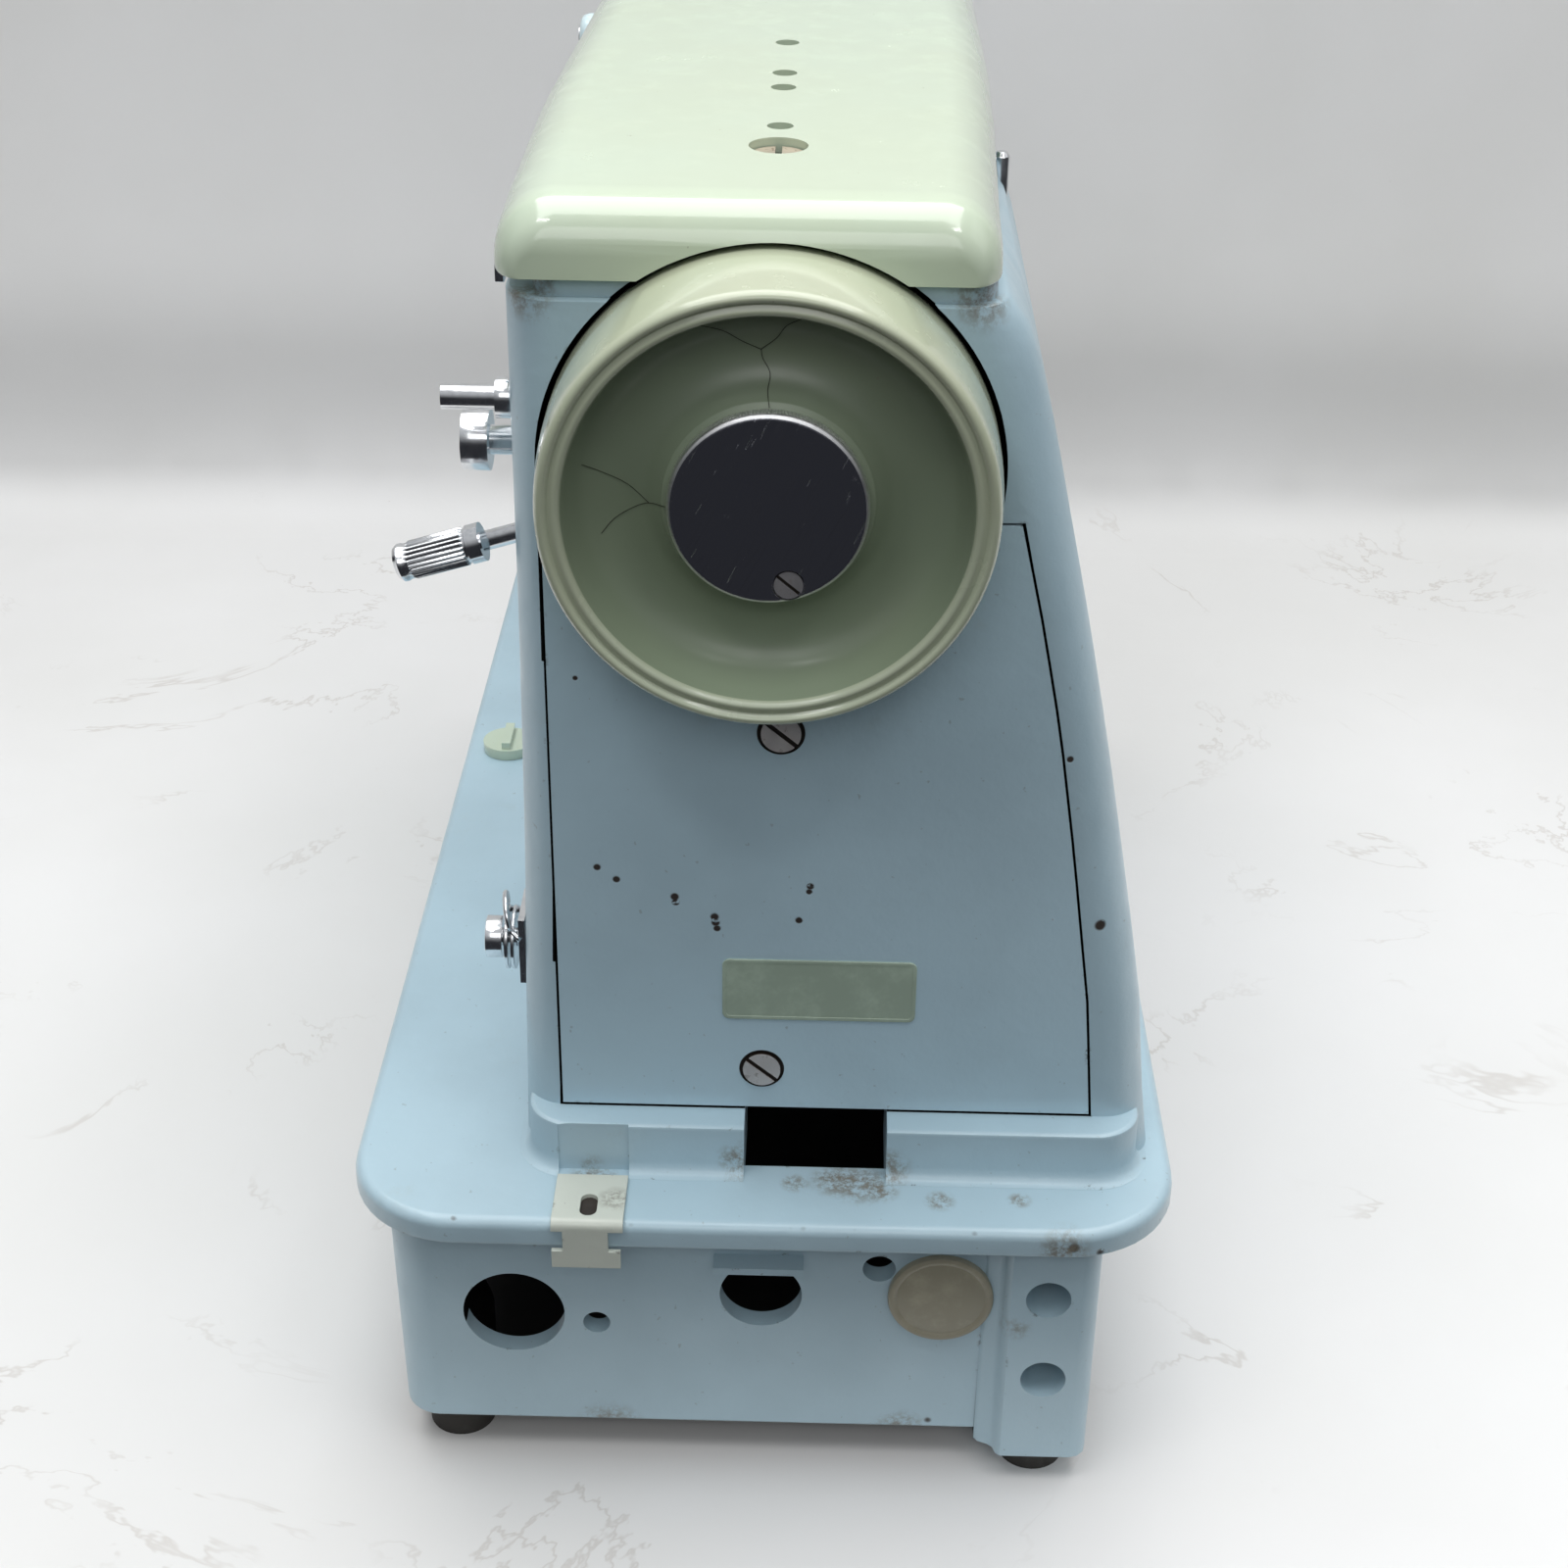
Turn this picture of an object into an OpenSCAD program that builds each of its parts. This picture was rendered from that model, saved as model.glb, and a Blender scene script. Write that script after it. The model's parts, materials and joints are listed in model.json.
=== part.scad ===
// Flat-bed sewing machine: cast bed and arm, top cover, handwheel, built-in
// motor, rotary hook, needle and presser mechanism and their controls.
// Millimetres. +X points to the handwheel end, -Y to the operator, +Z up.
// The origin is the middle of the bed's footprint, on the table.

/* [Bed] */
// Length of the bed flange
bed_l = 370; // [360:1:380]
// Depth of the bed flange (a standard cabinet cut-out is 178 mm)
bed_w = 178; // [176:1:182]
// Height of the bed's work surface above the table
bed_top = 76; // [74:1:80]
// Thickness of the bed flange
flange_t = 6.3; // [5:0.1:8]
// Radius of the bed flange's corners
flange_r = 24; // [16:1:30]
// Height of the rubber feet below the skirt
foot_h = 9.6; // [8:0.1:12]

/* [Column and arm] */
// Face of the column at the handwheel end
col_face_x = 160.2; // [158:0.1:162]
// Inner face of the column, where the throat starts
col_inner_x = 30; // [20:1:40]
// Height of the arm's underside
arm_under_z = 209; // [204:1:214]
// Height of the seam between the arm and its top cover
seam_z = 272.3; // [270:0.1:275]
// Height of the top cover
cover_h = 14.2; // [12:0.1:16]

/* [Drive] */
// Height of the main shaft
shaft_z = 235.7; // [234:0.1:237]
// Outer radius of the handwheel
wheel_r = 42.2; // [38:0.1:43]
// Front of the handwheel's rim
wheel_front_x = 182; // [180:0.5:184]
// Place of the needle along the arm
needle_x = -140; // [-142:1:-138]

/* [Hidden] */
$fn = 64;

// Colours
blue = [0.66, 0.77, 0.82];
mint = [0.87, 0.90, 0.82];
sage = [0.72, 0.76, 0.62];
steel = [0.72, 0.73, 0.75];
chrome = [0.86, 0.87, 0.90];
bronze = [0.66, 0.50, 0.28];
dark = [0.16, 0.16, 0.17];
beige = [0.66, 0.60, 0.54];
ivory = [0.84, 0.82, 0.75];

eps = 0.02;             // overlap that joins two pieces of one solid
run = 0.05;             // radial clearance of a shaft in its bush
gap = 0.4;              // clearance between parts that only lie close

// Bed
skirt_x = 174.5;        // outer faces of the skirt's end walls
skirt_y = [-81.7, 73.5];// outer faces of the skirt's long walls
skirt_t = 5;
skirt_z = foot_h;       // lower edge of the skirt
flange_z = bed_top - flange_t;
boss_y = 52;            // the hinge boss runs from here to the rear wall
boss_out = 5;           // how far the boss stands out of the end wall
boss_in = 14;           // how far the boss reaches inside
boss_z = 7.4;
end_hole = [-54.4, 41.5, 11.2];          // y, z, radius
end_small_holes = [[-36.2, 39.1, 3.0], [25.7, 56.5, 3.6]];
end_mid_hole = [0, 48.3, 9.0];
plug_hole = [39.3, 49.5, 10.6];
pin_holes = [[62.3, 53.2, 4.9], [62.5, 30.4, 5.0]];
pin_hole_depth = 16;
// Rubber feet: x, y and the height of the casting's pad over each
foot_at = [[162, -69.2, skirt_z], [168.4, 62, boss_z], [-162, -69.2, skirt_z],
  [-162, 57, skirt_z]];
foot_r = 7.5;

// Column and arm
collar_top = 88.3;      // top of the collar round the column's foot
collar_out = 7.2;       // how far the collar stands out of the column's end face
collar_y = [-51, 81];
collar_r = 10;
col_r = 9.5;            // corner radius of the column
neck_z = 268.7;         // the neck under the cover starts here
neck_in = 1.5;          // how far the neck is set in
// Outline of the column seen from the end, y and z: up the front, over, and down the back
col_outline = [[-52.1, 88], [-51.4, 115], [-50.3, 150], [-49.5, 200], [-49.2, neck_z],
  [43.2, neck_z], [47.4, 263], [50.2, 255], [54, 240], [57.4, 225], [61.6, 207],
  [65.3, 190], [69.2, 171], [73.2, 150], [76.6, 132], [79.6, 115], [82.5, 88]];
head_x = [-172, -110];  // ends of the head
head_z = 150;           // underside of the head
head_y = [-45.5, 43.2];
arm_front_y = -49;
taper_x = -58;          // the arm narrows from the column to here
arm_r = 12;             // lower edges of the arm and head
wall = 5;
wheel_recess_r = 44.2;
wheel_recess_x = 150;   // bottom of the recess the wheel turns in
knob_screw = [3.9, shaft_z - 14.7];
end_wall_x = 144;       // inner face of the column's end wall
throat_wall_x = 38;     // inner face of the wall over the throat
cord_hole = [-4.1, 26.5];
// Outline of the hollow in the column, y and z
col_hollow = [[-44.5, 75], [74, 75], [70, 120], [60, 160], [38, 200], [38, 280], [-44, 280]];
panel_t = 2.6;
panel_gap = 0.6;
// Outline of the end panel, y and z
panel_outline = [[-43.4, 88.9], [69.9, 88.9], [67.4, 117.2], [62, 154], [57.4, 182],
  [47.6, 226], [-43.4, 226]];
panel_seat = [for (p = panel_outline) [p[0] + (p[0] < 0 ? -panel_gap : panel_gap),
  p[1] + (p[1] > 200 ? panel_gap : p[1] < 90 ? -panel_gap : 0)]];
panel_opening = [[-37, 107], [60, 107], [51, 170], [-37, 170]];
panel_screws = [[2.6, 180.6], [-0.6, 99]];
// Sections along the cover: x, front edge, rear edge
cover_sections = [[161.2, -50.8, 41.6], [149, -51, 41.8], [130, -51.4, 42.2],
  [108, -51.5, 43], [74, -51.6, 44.2], [31, -50.3, 45.2], [-14, -48.6, 45.1],
  [taper_x, -46.9, 44.9], [-110, -46.4, 44.7], [-174.5, -46.4, 44.6]];
cover_r = 11.5;
cover_end_r = 9;        // rounding of the end over the handwheel: along the cover
cover_side_in = 5;      // and how far its sides and top draw in there
cover_end_drop = 9.5;
oil_holes = [107, 77, 65, 38];

// Drive train
shaft_r = 6;
bush_t = 3;
main_bushes = [[-114, -106], [26, 38], [144, 150]];
gear_x = 56;            // the vertical shaft's place along the arm
gear_r = 16;
gear_h = 9;
vertical_r = 5;
vertical_bushes = [[66, 76], [188, 198]];
hook_z = 46;
hook_r = 17;
hook_x = [-137, -121];  // the hook's cup
hook_bushes = [[-106, -98], [12, 20]];
pulley_x = 128;
pulley_r = 23;
motor_pulley_r = 7;
motor_z = 124;
motor_y = 4;
motor_r = 26;
motor_x = [78, 116];
belt_t = 3;
belt_w = 7;

// Needle end
bar_r = 3.2;
presser_y = 14;
presser_r = 3.8;
bar_bush_t = 2.2;
bar_bush_z = [[150, 160], [259, 267]];
crank_throw = 15;
plate_t = 1.6;
plate_x = [-163, -118]; // the needle plate
plate_y = 30;
plate_screw_y = [-20, 20];

// Controls
lever_x = 135;          // the stitch length lever
lever_pivot = [-30, 218];
lever_tilt = 17;
take_up_x = -149;
take_up_pivot = [-22, 205];
dial_at = [-118, 251];  // tension dial, x and z
winder_at = [140, 242];
stop_at = [123, 226.5];
width_at = [132, 265.2];
lifter_z = 166;
stud_at = [140, 118];   // the winder's thread tension
spool_at = [62, 46.6];   // spool pin, x and y

// Shared shapes

// A rectangle with round corners, given by its limits
module rounded_rect(x, y, r) {
  translate([x[0] + r, y[0]]) square([x[1] - x[0] - 2 * r, y[1] - y[0]]);
  translate([x[0], y[0] + r]) square([x[1] - x[0], y[1] - y[0] - 2 * r]);
  for (i = [x[0] + r, x[1] - r], j = [y[0] + r, y[1] - r]) translate([i, j]) circle(r);
}
// A profile in y and z, swept along x
module along_x(x) translate([x[0], 0, 0]) rotate([90, 0, 90])
  linear_extrude(x[1] - x[0]) children();
// Round bars along each axis, given by their ends
module rod_x(x, y, z, r) translate([x[0], y, z]) rotate([0, 90, 0]) cylinder(h = x[1] - x[0], r = r);
module rod_y(x, y, z, r) translate([x, y[1], z]) rotate([90, 0, 0]) cylinder(h = y[1] - y[0], r = r);
module rod_z(x, y, z, r) translate([x, y, z[0]]) cylinder(h = z[1] - z[0], r = r);
// A box given by its limits
module box(x, y, z) translate([x[0], y[0], z[0]]) cube([x[1] - x[0], y[1] - y[0], z[1] - z[0]]);
module bush_x(x, y, z, r, t) difference() {
  rod_x(x, y, z, r + t);
  rod_x([x[0] - 1, x[1] + 1], y, z, r);
}
module bush_z(x, y, z, r, t) difference() {
  rod_z(x, y, z, r + t);
  rod_z(x, y, [z[0] - 1, z[1] + 1], r);
}
// A slotted screw with its head's face at the origin, looking along +Z
module screw(head_r, head_h, shank_r, shank_h) difference() {
  union() {
    translate([0, 0, -head_h]) cylinder(h = head_h, r = head_r);
    translate([0, 0, -head_h - shank_h]) cylinder(h = shank_h + eps, r = shank_r);
  }
  translate([-head_r - 1, -head_r / 8, -head_h / 2]) cube([2 * head_r + 2, head_r / 4, head_h]);
}
// A bevel gear blank: its pitch cone's point is at the origin and it opens along +Z
module bevel_gear(r, h, bore, teeth) difference() {
  rotate_extrude() polygon([[bore, r - h], [r - h - gap, r - h], [r - gap, r],
    [r - gap, r + 2], [bore, r + 2]]);
  for (i = [0:teeth - 1]) rotate(i * 360 / teeth) translate([r - h / 2, 0, r - h / 2])
    rotate([0, 45, 0]) cube([1.6, 1.1, 2 * h], center = true);
}

// Bed and what is fixed to it

module skirt(inset, r) rounded_rect([-skirt_x + inset, skirt_x - inset],
  [skirt_y[0] + inset, skirt_y[1] - inset], r);
module bed_holes() {
  out = skirt_x + boss_out + 1;
  rod_x([out - 20, out], end_hole[0], end_hole[1], end_hole[2]);
  rod_x([out - 20, out], end_mid_hole[0], end_mid_hole[1], end_mid_hole[2]);
  rod_x([out - 20, out], plug_hole[0], plug_hole[1], plug_hole[2]);
  for (p = end_small_holes) rod_x([out - 20, out], p[0], p[1], p[2]);
  for (p = pin_holes) rod_x([skirt_x + boss_out - pin_hole_depth, out], p[0], p[1], p[2]);
}
module bed_casting() color(blue) difference() {
  union() {
    translate([0, 0, flange_z]) linear_extrude(flange_t)
      rounded_rect([-bed_l / 2, bed_l / 2], [-bed_w / 2, bed_w / 2], flange_r);
    translate([0, 0, skirt_z]) linear_extrude(flange_z - skirt_z + 2) difference() {
      skirt(0, 9);
      skirt(skirt_t, 5);
    }
    translate([0, 0, boss_z]) linear_extrude(flange_z - boss_z + 3)
      rounded_rect([skirt_x - boss_in, skirt_x + boss_out], [boss_y, skirt_y[1] - 0.2], 3);
    for (f = foot_at) rod_z(f[0], f[1], [f[2], flange_z + 1], foot_r + 1);
    // Webs that carry the hook shaft, and the boss of the vertical shaft
    for (b = hook_bushes) box(b, [-14, 14], [hook_z - 12, flange_z + 1]);
    rod_z(gear_x, 0, [vertical_bushes[0][0], flange_z + 1], 12);
    // Cast tab over the middle hole
    box([skirt_x - 1, skirt_x + 4.9], [-10.2, 9.2], [58.2, 59.7]);
  }
  bed_holes();
  for (b = hook_bushes) rod_x([b[0] - 1, b[1] + 1], 0, hook_z, hook_shaft_bore());
  rod_z(gear_x, 0, [vertical_bushes[0][0] - 1, bed_top + 1], vertical_r + bush_t);
  // Recess of the needle and slide plates, and the opening over the hook
  box([-bed_l / 2 - 1, plate_x[1] + gap / 2], [-plate_y - gap / 2, plate_y + gap / 2],
    [bed_top - plate_t, bed_top + 1]);
  box([-169, plate_x[1] - 9], [-plate_y + 3, plate_y - 3], [flange_z - 1, bed_top]);
  // Opening for the wiring under the column
  box([122, 143], [-25, 45], [flange_z - 1, bed_top + 1]);
  box([142, 164.3], cord_hole, [flange_z - 1, bed_top + 1]);
  rod_z(-20, -77, [flange_z - 12, bed_top + 1], 2.55);
  for (f = foot_at) rod_z(f[0], f[1], [f[2] - 1, f[2] + 12], 2.5);
  for (y = plate_screw_y) rod_z(plate_x[1] - 4.5, y, [flange_z - 1, bed_top], 1.2);
}
function hook_shaft_bore() = 5 + bush_t;

module rubber_feet() color(dark) for (f = foot_at) difference() {
  union() {
    rod_z(f[0], f[1], [0, f[2]], foot_r);
    rod_z(f[0], f[1], [f[2] - eps, f[2] + 10], 2.5);
  }
  rod_z(f[0], f[1], [-1, 2], 3);
}
module bed_clip() color(ivory) difference() {
  union() {
    box([170, bed_l / 2 + 1.2], [-44, -28.8], [bed_top, bed_top + 1.2]);
    box([bed_l / 2, bed_l / 2 + 1.2], [-41.6, -32], [66, bed_top + 1.2]);
    box([bed_l / 2, bed_l / 2 + 1.2], [-43.7, -29.4], [65, 69.4]);
  }
  box([176.6, 183.6], [-38.2, -34.6], [bed_top - 1, bed_top + 2]);
}
module blanking_plug() color(beige) {
  rod_x([skirt_x, skirt_x + 2.2], plug_hole[0], plug_hole[1], plug_hole[2] + 1);
  rod_x([skirt_x - 6, skirt_x + eps], plug_hole[0], plug_hole[1], plug_hole[2]);
}
module needle_plate() color(steel) difference() {
  box(plate_x, [-plate_y, plate_y], [bed_top - plate_t, bed_top]);
  rod_z(needle_x, 0, [bed_top - 3, bed_top + 1], 2);
  for (s = [-1, 1]) box([needle_x + s * 4.6 - 1.6, needle_x + s * 4.6 + 1.6], [-13, 13],
    [bed_top - 3, bed_top + 1]);
  for (y = plate_screw_y) rod_z(plate_x[1] - 4.5, y, [bed_top - 3, bed_top + 1], 2.4);
}
module needle_plate_screws() color(steel) for (y = plate_screw_y)
  translate([plate_x[1] - 4.5, y, bed_top]) screw(2.4, plate_t, 1.2, 6);
module slide_plate() color(steel) {
  box([-bed_l / 2 + 0.6, plate_x[0] - gap], [-plate_y, plate_y], [bed_top - plate_t, bed_top]);
  box([-bed_l / 2 + 2, -bed_l / 2 + 4], [-8, 8], [bed_top - eps, bed_top + 1]);
}
module feed_drop_knob() color(mint) {
  rod_z(-20, -77, [bed_top + 0.1, bed_top + 3], 7);
  rod_z(-20, -77, [flange_z - 10, bed_top + 1], 2.5);
  box([-26, -14], [-78.2, -75.8], [bed_top + 2, bed_top + 5]);
}
module feed_dog() color(steel) {
  difference() {
    box([needle_x - 8, needle_x + 8], [-10, 15], [66, 71]);
    box([needle_x - 2.4, needle_x + 2.4], [-11, 7], [65, 72]);
  }
  for (s = [-1, 1], i = [0:6]) {
    box([needle_x + s * 4.6 - 1.1, needle_x + s * 4.6 + 1.1], [-9.5, 9.5], [71 - eps, bed_top - 1]);
    translate([needle_x + s * 4.6 - 1.1, -9 + i * 2.7, bed_top - 1 - eps]) rotate([90, 0, 90])
      linear_extrude(2.2) polygon([[0, 0], [2.2, 0], [2.2, 0.7]]);
  }
}

// Arm and column

module arm_profile(y, z) {
  translate([y[0], z + arm_r]) square([y[1] - y[0], neck_z - z - arm_r]);
  translate([y[0] + arm_r, z]) square([y[1] - y[0] - 2 * arm_r, neck_z - z]);
  for (c = [y[0] + arm_r, y[1] - arm_r]) translate([c, z + arm_r]) circle(arm_r);
}
module arm_shape() {
  // Collar and column
  translate([0, 0, bed_top]) linear_extrude(collar_top - bed_top)
    rounded_rect([col_inner_x - collar_out, col_face_x + collar_out], collar_y, collar_r);
  intersection() {
    along_x([col_inner_x, col_face_x]) polygon(col_outline);
    translate([0, 0, bed_top]) linear_extrude(neck_z)
      rounded_rect([col_inner_x, col_face_x], [col_outline[0][0], 120], col_r);
  }
  // Arm, narrowing towards the head at the front, and the head
  intersection() {
    along_x([head_x[1] - 5, col_inner_x + 15])
      arm_profile([arm_front_y, head_y[1]], arm_under_z);
    translate([0, 0, arm_under_z - 1]) linear_extrude(neck_z) polygon([[head_x[0], head_y[0]],
      [taper_x, head_y[0]], [col_inner_x, arm_front_y], [col_inner_x + 20, arm_front_y],
      [col_inner_x + 20, head_y[1]], [head_x[0], head_y[1]]]);
  }
  along_x(head_x) arm_profile(head_y, head_z);
  // Neck that the cover sits on
  box([head_x[0], taper_x + eps], [head_y[0] + neck_in, head_y[1] - neck_in],
    [neck_z - 1, seam_z]);
  box([taper_x, col_face_x - neck_in], [head_y[0] + neck_in, 41], [neck_z - 1, seam_z]);
}
module arm_hollows() {
  along_x([throat_wall_x, end_wall_x]) polygon(col_hollow);
  box([head_x[1] + 4, 26], [-41, 38], [arm_under_z + wall, 280]);
  box([head_x[0] - 1, head_x[1] - 4], [-40.5, 38], [head_z + 10, 280]);
  // The end panel's seat and opening
  along_x([col_face_x - panel_t, col_face_x + 1]) polygon(panel_seat);
  along_x([end_wall_x - 1, col_face_x]) polygon(panel_opening);
  // Recess of the handwheel
  rod_x([wheel_recess_x, col_face_x + 3], 0, shaft_z, wheel_recess_r);
  // Cord opening through the collar
  box([end_wall_x - 1, 172], cord_hole, [bed_top - 1, panel_outline[0][1]]);
  // Slot in the collar over the bed clip
  box([col_face_x + collar_out - 0.8, 172], [-44, -28.8], [bed_top - 1, collar_top + 1]);
}
module arm_bores() {
  for (b = main_bushes) rod_x([b[0] - 1, b[1] + 1], 0, shaft_z, shaft_r + bush_t);
  for (z = bar_bush_z) {
    rod_z(needle_x, 0, [z[0] - 1, z[1] + 1], bar_r + bar_bush_t);
    rod_z(needle_x, presser_y, [z[0] - 1, z[1] + 1], presser_r + bar_bush_t);
  }
  rod_z(gear_x, 0, [vertical_bushes[1][0] - 1, vertical_bushes[1][1] + 1], vertical_r + bush_t);
  for (p = panel_screws) rod_x([col_face_x - 14, col_face_x], p[0], p[1], 2);
  // Controls on the front
  rod_y(dial_at[0], [-47, -38], dial_at[1], 3);
  rod_y(winder_at[0], [-50, -38], winder_at[1], 2.5 + run);
  rod_y(stop_at[0], [-50, -38], stop_at[1], 3 + run);
  rod_y(stud_at[0], [-54, -38], stud_at[1], 2);
  box([lever_x - 3.4, lever_x + 3.4], [-56, -43], [194, 229]);
  rod_x([end_wall_x - 1, end_wall_x + 4], lever_pivot[0], lever_pivot[1], 3 + run);
  box([width_at[0] - 13, width_at[0] + 13], [-52, -43], [width_at[1] - 1.4, width_at[1] + 1.4]);
  box([take_up_x - 3, take_up_x + 3], [-48, -39], [196, 240]);
  // Controls on the back
  rod_y(needle_x, [36, 46], lifter_z, 4 + run);
  rod_z(spool_at[0], spool_at[1], [212, neck_z + 5], 1.7 + run);
}
module arm_casting() color(blue) difference() {
  union() {
    difference() {
      arm_shape();
      arm_hollows();
    }
    // Webs inside: upper bar guides, vertical shaft's steady and the cover screw's bridge
    box([-152, head_x[1] - 3], [-9, 23], bar_bush_z[1]);
    box([throat_wall_x - 1, gear_x + 12], [-14, 14], vertical_bushes[1]);
    box([115, 127], [-48, 41], [267.3, 271]);
  }
  arm_bores();
  rod_z(121, 0, [260, 272], 2);
}

// Outline of the cover at a section, from the front edge over to the rear edge.
// t is 0 along the cover and rises to 90 degrees over its rounded end.
function cover_ring(s, t) = let (x = s[0] - cover_end_r * (1 - sin(t)) * sign(t),
    y0 = s[1] + cover_side_in * (1 - cos(t)), y1 = s[2] - cover_side_in * (1 - cos(t)),
    top = seam_z + cover_h - cover_end_drop * (1 - cos(t)),
    r = min(cover_r, top - seam_z - 1)) concat([[x, y0, seam_z]],
  [for (a = [180 : -15 : 90]) [x, y0 + r + r * cos(a), top - r + r * sin(a)]],
  [for (a = [90 : -15 : 0]) [x, y1 - r + r * cos(a), top - r + r * sin(a)]],
  [[x, y1, seam_z]]);
function cover_rings() = concat(
  [for (t = [90 : -15 : 15]) cover_ring(cover_sections[0], t)],
  [for (i = [1 : len(cover_sections) - 1]) cover_ring(cover_sections[i], 0)]);
// A solid through rings of points, listed from +X to -X and clockwise seen from +X
module loft(rings) {
  n = len(rings[0]);
  last = (len(rings) - 1) * n;
  polyhedron(points = [for (r = rings, p = r) p], faces = concat(
    [[for (i = [0 : n - 1]) i]], [[for (i = [n - 1 : -1 : 0]) last + i]],
    [for (k = [0 : len(rings) - 2], i = [0 : n - 1], h = [0, 1])
      let (a = k * n + i, b = k * n + (i + 1) % n) h == 0 ? [a, a + n, b + n] : [a, b + n, b]]));
}
module top_cover() color(mint) difference() {
  loft(cover_rings());
  box([-171, 157], [-43, 37], [seam_z - 1, seam_z + cover_h - 3]);
  rod_x([wheel_recess_x, 170], 0, shaft_z, wheel_recess_r);
  rod_z(121, 0, [seam_z, 290], 5.7);
  for (x = oil_holes) rod_z(x, 0, [seam_z, 290], 2.6);
}
module cover_screw() color(steel) translate([121, 0, 284.9]) screw(5.2, 3, 2, 18);

module end_panel() color(blue) difference() {
  along_x([col_face_x - panel_t, col_face_x]) polygon(panel_outline);
  rod_x([col_face_x - 5, col_face_x + 1], 0, shaft_z, wheel_recess_r);
  for (p = panel_screws) {
    rod_x([col_face_x - 5, col_face_x + 1], p[0], p[1], 2.2);
    rod_x([col_face_x - 0.8, col_face_x + 1], p[0], p[1], 4.5);
  }
}
module end_panel_screws() color(chrome) for (p = panel_screws)
  translate([col_face_x + 0.6, p[0], p[1]]) rotate([50, 0, 0]) rotate([0, 90, 0]) screw(4, 1.4, 2, 9);
module rating_plate() color([0.75, 0.77, 0.6]) box([col_face_x, col_face_x + 0.4], [-9, 31.6], [112, 127]);
module face_plate() color(blue) difference() {
  along_x([head_x[0] - 3, head_x[0]]) arm_profile(head_y, head_z);
  rod_x([head_x[0] - 4, head_x[0] + 1], -25, 200, 2.2);
}
module face_plate_screw() color(chrome) translate([head_x[0] - 4.4, -25, 200])
  rotate([0, -90, 0]) screw(4, 1.4, 2.1, 4);

module main_shaft_bushes() color(bronze) for (b = main_bushes)
  bush_x(b, 0, shaft_z, shaft_r + run, bush_t - run);
module vertical_shaft_bushes() color(bronze) for (b = vertical_bushes)
  bush_z(gear_x, 0, b, vertical_r + run, bush_t - run);
module hook_shaft_bushes() color(bronze) for (b = hook_bushes)
  bush_x(b, 0, hook_z, 5 + run, bush_t - run);
module bar_bushes() color(bronze) for (z = bar_bush_z) {
  bush_z(needle_x, 0, z, bar_r + run, bar_bush_t - run);
  bush_z(needle_x, presser_y, z, presser_r + run, bar_bush_t - run);
}

// Motor and belt

module motor_body() color(dark) difference() {
  union() {
    rod_x([motor_x[0] + 6, motor_x[1] - 6], motor_y, motor_z, motor_r);
    rod_x(motor_x, motor_y, motor_z, motor_r - 6);
  }
  rod_x([motor_x[0] - 1, motor_x[1] + 1], motor_y, motor_z, 4 + run);
}
module motor_bracket() color(steel) {
  box([motor_x[0] + 10, motor_x[1] - 10], [motor_y - 22, motor_y + 22], [bed_top, bed_top + 3]);
  for (y = [motor_y - 16, motor_y + 10])
    box([motor_x[0] + 10, motor_x[1] - 10], [y, y + 6], [bed_top + 3 - eps, motor_z - motor_r + 1.9]);
}
module motor_pulley() color(steel) {
  rod_x([motor_x[0] - 6, pulley_x + 6], motor_y, motor_z, 4);
  difference() {
    rod_x([pulley_x - 5, pulley_x + 5], motor_y, motor_z, motor_pulley_r + 2);
    difference() {
      rod_x([pulley_x - 3.8, pulley_x + 3.8], motor_y, motor_z, motor_pulley_r + 4);
      rod_x([pulley_x - 4, pulley_x + 4], motor_y, motor_z, motor_pulley_r);
    }
  }
}
module drive_pulley() color(steel) difference() {
  rod_x([pulley_x - 5, pulley_x + 5], 0, shaft_z, pulley_r + 2.4);
  rod_x([pulley_x - 6, pulley_x + 6], 0, shaft_z, shaft_r);
  difference() {
    rod_x([pulley_x - 3.8, pulley_x + 3.8], 0, shaft_z, pulley_r + 4);
    rod_x([pulley_x - 4, pulley_x + 4], 0, shaft_z, pulley_r);
  }
}
// Outline of a loop round both pulleys, d away from their grooves
function belt_reach() = norm([motor_y, shaft_z - motor_z]);
function belt_lean() = asin((pulley_r - motor_pulley_r) / belt_reach());
function belt_turn() = atan2(motor_y, shaft_z - motor_z);
module belt_loop(d) translate([0, shaft_z]) rotate(belt_turn()) polygon([
  for (a = [-belt_lean() : 6 : 180 + belt_lean()]) (pulley_r + d) * [cos(a), sin(a)],
  for (a = [180 + belt_lean() : 9 : 360 - belt_lean()])
    (motor_pulley_r + d) * [cos(a), sin(a)] - [0, belt_reach()]]);
module drive_belt() color(dark) along_x([pulley_x - belt_w / 2, pulley_x + belt_w / 2])
  difference() {
    belt_loop(gap + belt_t);
    belt_loop(gap);
  }

// Main shaft and handwheel

module main_shaft() color(steel) {
  rod_x([-118, 166], 0, shaft_z, shaft_r);
  rod_x([166 - eps, 176], 0, shaft_z, 4);
}
module main_shaft_gear() color(steel) translate([gear_x, 0, shaft_z]) rotate([0, 90, 0])
  bevel_gear(gear_r, gear_h, shaft_r, 18);
module needle_crank() color(steel) {
  difference() {
    union() {
      rod_x([-124, -116], 0, shaft_z, 11);
      box([-124, -118], [-5, 5], [shaft_z, shaft_z + crank_throw]);
      rod_x([-124, -118], 0, shaft_z + crank_throw, 5);
      along_x([-124, -118]) translate([0, shaft_z]) intersection() {
        circle(18);
        translate([-14, -18]) square([28, 12]);
      }
    }
    rod_x([-118.02, -110], 0, shaft_z, shaft_r);
  }
  rod_x([-127, -124 + eps], 0, shaft_z + crank_throw, 3);
}
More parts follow.
